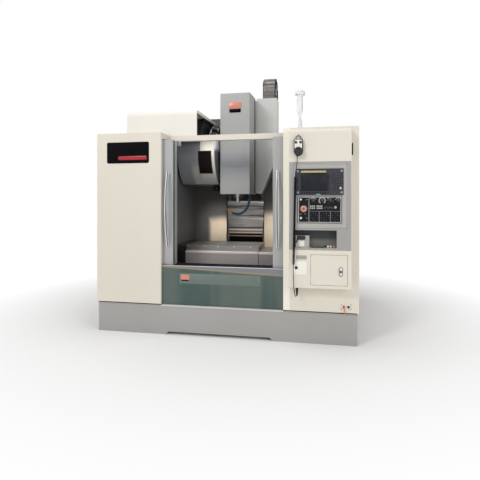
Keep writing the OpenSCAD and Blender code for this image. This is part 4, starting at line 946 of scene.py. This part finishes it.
def spindleNose(s):
    bm = bmesh.new()
    addTurned(bm, (0, s["y"], 0), [
        (14, 1394), (22, 1336.5), (23, 1336), (31.4, 1336), (32, 1336.8), (32, 1352), (30.5, 1353.5),
        (32, 1355), (32, 1379), (43, 1386), (44, 1388), (44, 1399.6), (20, 1399.6), (14, 1394)], 64, 0, upward)
    for angle in (0, 180):
        key = bmesh.new()
        addBox(key, (-8, -31, 0), (8, -22.5, 12), 0.8, 1)
        addMoved(bm, key, (0, s["y"], s["keyZ"]), Matrix.Rotation(math.radians(angle), 4, "Z"))
    return finishPiece("spindleNose", bm, [turnedSteel], "tool_spindle")


def noseRing(s):
    bm = bmesh.new()
    addTurned(bm, (0, s["y"], 0), [
        (47, 1403), (57, 1403), (59, 1405), (59, 1424), (84, 1430), (84, 1470), (47, 1470),
        (47, 1403)], 56, 0, upward)
    radius = s["ringScrews"]
    for k in range(6):
        angle = k * math.tau / 6
        place = (radius * math.cos(angle), s["y"] + radius * math.sin(angle), s["ringZ"])
        addScrew(bm, place, 3.4, 2.6, 1, -upward)
    return finishPiece("noseRing", bm, [turnedSteel, zincPlate], "head")


# Points at even distances along a route
def evenPoints(route, count):
    pitch = routeLength(route) / count
    points = [route[0]]
    walked = 0.0
    for a, b in zip(route, route[1:]):
        step = (b - a).length
        while len(points) < count and len(points) * pitch <= walked + step:
            points.append(a.lerp(b, (len(points) * pitch - walked) / step))
        walked += step
    return points + [route[-1]]


def coolantHose(s):
    bm = bmesh.new()
    places = evenPoints(smoothRoute([Vector(p) for p in s["path"]], 3), s["links"])
    last = s["links"] - s["nozzle"]   # from here on the hose is its nozzle
    for i in range(last):
        along = places[i + 1] - places[i]
        pitch = along.length
        size = s["size"] - s["taper"] * i / s["links"]
        addTurned(bm, places[i], [
            (0.01, 0), (size * 0.62, 0), (size * 0.95, pitch * 0.16), (size, pitch * 0.4),
            (size * 0.92, pitch * 0.66), (size * 0.66, pitch * 0.86), (size * 0.58, pitch * 1.08),
            (0.01, pitch * 1.08)], 20, 0, along.normalized())
    along = places[-1] - places[last]
    reach = along.length
    addTurned(bm, places[last], [
        (0.01, 0), (10, 0), (13, 4), (13, 12), (10, reach * 0.5), (6.5, reach), (3.4, reach),
        (3.4, reach - 6), (0.01, reach - 6)], 24, 1, along.normalized())
    addBox(bm, (132, 842, 1469), (165, 878, 1479.5), 3, 2, 2)   # block that holds the hose
    return finishPiece("coolantHose", bm, [hoseBlue, nozzleOrange, zincPlate], "head")


headTrim(headCover)
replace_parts(spindleNose(spindleSize), "spindle")
noseRing(spindleSize)
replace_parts(coolantHose(hose), "coolant_hose")
print("head trim made")

# Doors
doorTrim = {"edge": 512, "front": 58, "low": 695.3, "high": 1974, "screws": (1810, 1337, 893),
            "window": (-1053, 1150, -633, 1850)}


def doorSeals(side, body, s):
    bm = bmesh.new()
    x, front = side * s["edge"], s["front"]
    low, high = sorted((x - side * 0.6, x + side * 4.6))
    addBox(bm, (low, front + 22, s["low"] + 6), (high, front + 50, s["high"] - 6), 0.8, 1)
    for z in s["screws"]:
        addScrew(bm, (x + side * 1.3, front + 33, z), 8, 2.2, 0, -side * toRight)
    x0, z0, x1, z1 = s["window"]
    if side > 0:
        x0, x1 = -x1, -x0
    for y in (front, front + 40):
        addFrame(bm, (x0, z0, x1, z1), 9, y - 2, y + 2, 1.2)
    return finishPiece("doorSeals" + ("Right" if side > 0 else "Left"), bm, [rubberSeal], body)


doorSeals(-1, "left_leaf", doorTrim)
doorSeals(1, "right_leaf", doorTrim)
print("door trim made")

# Tool magazine
magazine = {"x": -330, "y": 1070, "z": 1935, "pitch": 325, "count": 20, "pot": 36, "disc": 20, "long": 105,
            "paneX0": -407, "paneX1": -250, "paneLow": 1668, "paneHigh": 1915, "rim": 474.2, "rimSteps": 14}
hoodSize = {"x": -332, "y0": 300, "y1": 1466, "z0": 2045, "z1": 2327, "wide": 30}


# The lowest place has no pot, because its pot hangs in the changing place
def toolDisc(s):
    bm = bmesh.new()
    disc, pot = s["disc"], s["pot"]
    end = s["long"] - disc - 17
    addTurned(bm, (s["x"], s["y"], s["z"]), [
        (40.5, 0), (336, 0), (338, 3), (338, disc - 3), (336, disc), (250, disc), (246, disc - 6),
        (120, disc - 6), (110, disc), (40.5, disc), (40.5, 0)], 96, 0, toRight)
    for k in range(1, s["count"]):
        angle = k * math.tau / s["count"]
        y, z = s["y"] + s["pitch"] * math.sin(angle), s["z"] - s["pitch"] * math.cos(angle)
        base = (s["x"] + disc - 1, y, z)
        addTurned(bm, base, [
            (0.01, 0), (30, 0), (30, 14), (pot, 18), (pot, 34), (pot - 5, 38), (pot - 5, 52), (pot, 56),
            (pot, end - 4), (pot - 3, end), (0.01, end)], 28, 1, toRight)
        addTurned(bm, base, [(0.01, end), (22, end), (22, end + 6), (14, end + 12), (0.01, end + 12)], 28,
                  3 if k % 3 else 2, toRight)
    return finishPiece("toolDisc", bm, [zincPlate, blackPlastic, whitePlastic, yellowPlastic], "tool_disc")


# Brown cut edge of the curved window: two curved sides of short bars, and a bar along each end
def windowRim(s):
    bm = bmesh.new()
    x0, x1, rim, steps = s["paneX0"], s["paneX1"], s["rim"], s["rimSteps"]
    low, high = [math.asin((z - s["z"]) / rim) for z in (s["paneLow"], s["paneHigh"])]
    half = (high - low) / steps / 2
    bars = [(x, x + 6, low + (2 * k + 1) * half, rim * math.cos(half), rim * math.sin(half))
            for x in (x0, x1 - 6) for k in range(steps)]
    bars += [(x0, x1, angle, rim, 4) for angle in (low, high)]
    for left, right, angle, radius, reach in bars:
        bar = bmesh.new()
        addBox(bar, (left, -2.2, -reach), (right, 2.2, reach))
        addMoved(bm, bar, (0, s["y"] - radius * math.cos(angle), s["z"] + radius * math.sin(angle)),
                 Matrix.Rotation(-angle, 4, "X"))
    return finishPiece("windowRim", bm, [brownEdge], "machine")


# Flanges at the hood's rim, white as a painted highlight
def hoodRim(s):
    bm = bmesh.new()
    left, right, z1 = s["x"] - 4, s["x"] - 0.2, s["z1"]
    addBox(bm, (left, s["y0"] + 38, z1 - s["wide"]), (right, s["y1"] - 1, z1 - 0.5), 1.4)
    addBox(bm, (left, s["y0"] + 0.6, s["z0"] + 1), (right, s["y0"] + 13, z1 - 42), 1.4)
    return finishPiece("hoodRim", bm, [rimPaintedHighlight], "machine")


hoodRim(hoodSize)
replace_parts(toolDisc(magazine), "magazine_disc")
windowRim(magazine)
print("magazine made")

# Table, cabinet and front edges
tableTrim = {"x0": -547, "x1": 293, "front": 574, "ledgeZ": 776, "screwZ": 831,
             "screws": (-520, -332, -172, 14, 201), "rightEnd": 733}
cabinetTrim = {"half": 420, "low": 420, "high": 2100}
edgeTrim = {"half": 618, "sillZ": 695, "sillY": 28, "trayZ": 298, "side": 1300,
            "plate": (-430, 515, 390, 618), "wallStrips": ((-693, -681), (681, 687))}


def tableScrews(s):
    bm = bmesh.new()
    left, right, front, ledgeZ = s["x0"], s["x1"], s["front"], s["ledgeZ"]
    addScrews(bm, s["screws"], 600, [s["screwZ"]], 7, 3, 1)
    addScrews(bm, (left + 18, left + 420, right - 18, right + 200, right + 420), front, [655], 4.5, 2.4)
    # Pale ledge over the skirt in two lengths, and the dark joint of the skirt between them
    for x0, x1 in ((left, right - 1), (right + 3, s["rightEnd"])):
        addBox(bm, (x0, front - 3, ledgeZ - 22), (x1, front + 1, ledgeZ + 4.5), 1.4, 2, 2)
        addBox(bm, (x0, front - 2, ledgeZ + 2.6), (x1, front + 25.6, ledgeZ + 4.4), 0.6, 1, 2)
    addBox(bm, (right - 2, front - 1.2, 638), (right + 4, front + 0.4, ledgeZ - 8), 0.5, 1, 3)
    return finishPiece("tableScrews", bm, [zincPlate, brightSteel, ledgeCoat, rubberSeal], "work_table")


def cabinetHardware(s):
    bm = bmesh.new()
    back = (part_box("cabinet_door")[1].y - faceY) * 1000
    # Three hinges and the lock
    for z in (s["low"] + 180, (s["low"] + s["high"]) / 2, s["high"] - 180):
        addBox(bm, (s["half"], back - 16, z - 40), (s["half"] + 10, back - 2, z + 40), 3)
    addTurned(bm, (53 - s["half"], back - 3, 1290), [
        (0.01, -1), (9, -1), (9, 1.6), (7, 2.6), (0.01, 2.6)], 24, 1, toBack)
    return finishPiece("cabinetHardware", bm, [zincPlate, blackPlastic], "cabinet_leaf")


def frontEdges(s):
    bm = bmesh.new()
    half, side, sillY, sillZ, trayZ = [s[k] for k in ("half", "side", "sillY", "sillZ", "trayZ")]
    # Bright edge of the sill, and the pale edge and top of the tray's front, pale as a painted highlight on
    # the tray's lip
    addBox(bm, (1 - half, sillY - 2.4, sillZ - 5.5), (half - 1, sillY + 3, sillZ + 0.2), 1.4)
    addBox(bm, (1 - half, -1, trayZ - 13), (half - 1, 3, trayZ + 0.4), 1, 2, 6)
    addBox(bm, (1 - half, -0.4, trayZ - 0.6), (half - 1, sillY - 0.2, trayZ + 0.8), 0.4, 1, 6)
    # Sheet plate behind the left door's top, with its screws
    addPlate(bm, (-568, 244, 1932), (-490, 250.4, 1991), 5, 0.8, 7)
    addScrews(bm, (-556, -502), 244, [1978], 4, 2)
    # Black seals on the tray beside the apron, standing in as painted shade under the enclosures, and behind
    # the sill
    for x0, x1 in ((-side, -half - 2), (half + 2, side)):
        addBox(bm, (x0, -1, trayZ + 0.4), (x1, 14, trayZ + 7), 1, 1, 1)
    addBox(bm, (3 - half, sillY + 14, sillZ - 0.6), (half - 3, 213, sillZ + 0.2), 0.2, 1, 1)
    # Plate on the apron, with a bare coral field and a dark strip under it
    x0, z0, x1, z1 = s["plate"]
    addPlate(bm, (x0, sillY - 1.6, z0), (x1, sillY + 0.3, z1), 2, 0.6, 2)
    addPlate(bm, (x0 + 16, sillY - 2.2, z1 - 62), (x0 + 104, sillY - 1.3, z1 - 12), 9, 0.5, 3)
    addPlate(bm, (x0 + 22, sillY - 2.2, z1 - 76), (x0 + 98, sillY - 1.3, z1 - 65), 4, 0.4, 4)
    addScrews(bm, (x0 + 8, x1 - 8), sillY - 1.6, [(z0 + z1) / 2], 3, 1.2)
    # Strips on the inner walls at the height of the table
    for low, high in s["wallStrips"]:
        addBox(bm, (low, 245, 844), (high, 1396, 903), 1, 1, 5)
    return finishPiece("frontEdges", bm, [brightSteel, rubberSeal, plateSheet, coralAcrylic, plateAcrylic,
                                          wallCoat, trayEdgeHighlight, doorCoat], "machine")


frontEdges(edgeTrim)
tableScrews(tableTrim)
cabinetHardware(cabinetTrim)
print("table and cabinet trim made")

# Floor, light and world
stageSettings = {"floor": 12, "near": 1.75, "far": 3.4, "world": 0.5, "key": 130, "fill": 68, "top": 90,
                 "wash": 0.5, "front": 0.48, "drum": 0.07}

floorMesh = bmesh.new()
bmesh.ops.create_circle(floorMesh, cap_ends=True, segments=64, radius=stageSettings["floor"])
floorData = bpy.data.meshes.new("floor")
floorMesh.to_mesh(floorData)
floorMesh.free()
floor = bpy.data.objects.new("floor", floorData)
bpy.context.scene.collection.objects.link(floor)
floorFinish = bpy.data.materials.new("whiteFloor")
floorFinish.use_nodes = True
floorTree = floorFinish.node_tree
floorTree.nodes.clear()
matt = addNode(floorTree, "ShaderNodeBsdfDiffuse", {"Color": (0.93, 0.93, 0.93, 1)})
glow = addNode(floorTree, "ShaderNodeEmission", {"Color": (1, 1, 1, 1), "Strength": 1})
reach = addNode(floorTree, "ShaderNodeVectorMath", {"operation": "LENGTH"},
                {0: addNode(floorTree, "ShaderNodeTexCoord").outputs["Object"]})   # metres from the machine
fade = addNode(floorTree, "ShaderNodeMapRange",
               {"From Min": stageSettings["near"], "From Max": stageSettings["far"], "To Min": 0.0},
               {"Value": reach.outputs["Value"]})
cameraRay = addNode(floorTree, "ShaderNodeLightPath").outputs["Is Camera Ray"]
share = addNode(floorTree, "ShaderNodeMath", {"operation": "MULTIPLY"}, {0: fade.outputs[0], 1: cameraRay})
floorMix = addNode(floorTree, "ShaderNodeMixShader", None,
                   {0: share.outputs[0], 1: matt.outputs[0], 2: glow.outputs[0]})
addNode(floorTree, "ShaderNodeOutputMaterial", None, {"Surface": floorMix.outputs[0]})
floorData.materials.append(floorFinish)

world = bpy.data.worlds.new("studio")
bpy.context.scene.world = world
world.use_nodes = True
skyTree = world.node_tree
skyTree.nodes.clear()
path = addNode(skyTree, "ShaderNodeLightPath")
seen = addNode(skyTree, "ShaderNodeMath", {"operation": "MAXIMUM"},
               {0: path.outputs["Is Camera Ray"], 1: path.outputs["Is Glossy Ray"]})
shown = addNode(skyTree, "ShaderNodeMath", {"operation": "MAXIMUM"},
                {0: seen.outputs[0], 1: path.outputs["Is Transmission Ray"]})
strength = addNode(skyTree, "ShaderNodeMapRange", {"To Min": stageSettings["world"], "To Max": 1.0},
                   {"Value": shown.outputs[0]})
sky = addNode(skyTree, "ShaderNodeBackground", {"Color": (1, 1, 1, 1)}, {"Strength": strength.outputs[0]})
addNode(skyTree, "ShaderNodeOutputWorld", None, {"Surface": sky.outputs[0]})


def addLamp(name, place, aim, size, power, spread=None):
    lamp = bpy.data.lights.new(name, "AREA")
    lamp.shape = "RECTANGLE"
    lamp.size, lamp.size_y = size
    lamp.energy = power
    holder = bpy.data.objects.new(name, lamp)
    bpy.context.scene.collection.objects.link(holder)
    holder.location = place
    holder.rotation_euler = (Vector(aim) - Vector(place)).to_track_quat("-Z", "Y").to_euler()
    if spread:
        lamp.spread = math.radians(spread)
        holder.visible_glossy = holder.visible_camera = False


addLamp("keyLamp", (-2.5, -6.3, 5.2), (0, -0.8, 1.3), (1.6, 1.3), stageSettings["key"])
addLamp("fillLamp", (4.2, -5.5, 2.6), (0.3, -0.8, 1.2), (2.5, 2.5), stageSettings["fill"])
addLamp("topLamp", (0.0, -1.0, 6.5), (0, 0.2, 1.5), (4, 3), stageSettings["top"])
addLamp("washLampLeft", spot(-360, 700, 1330), spot(-345, 1398, 1020), (0.1, 0.1), stageSettings["wash"], 54)
addLamp("washLampRight", spot(430, 700, 1330), spot(430, 1398, 1000), (0.1, 0.1), stageSettings["wash"], 54)
addLamp("tableLamp", spot(40, 205, 1250), spot(40, 600, 740), (1.0, 0.06), stageSettings["front"], 62)
addLamp("drumLamp", spot(-250, 330, 2000), spot(-300, 660, 1880), (0.08, 0.08), stageSettings["drum"], 56)
print("stage made")
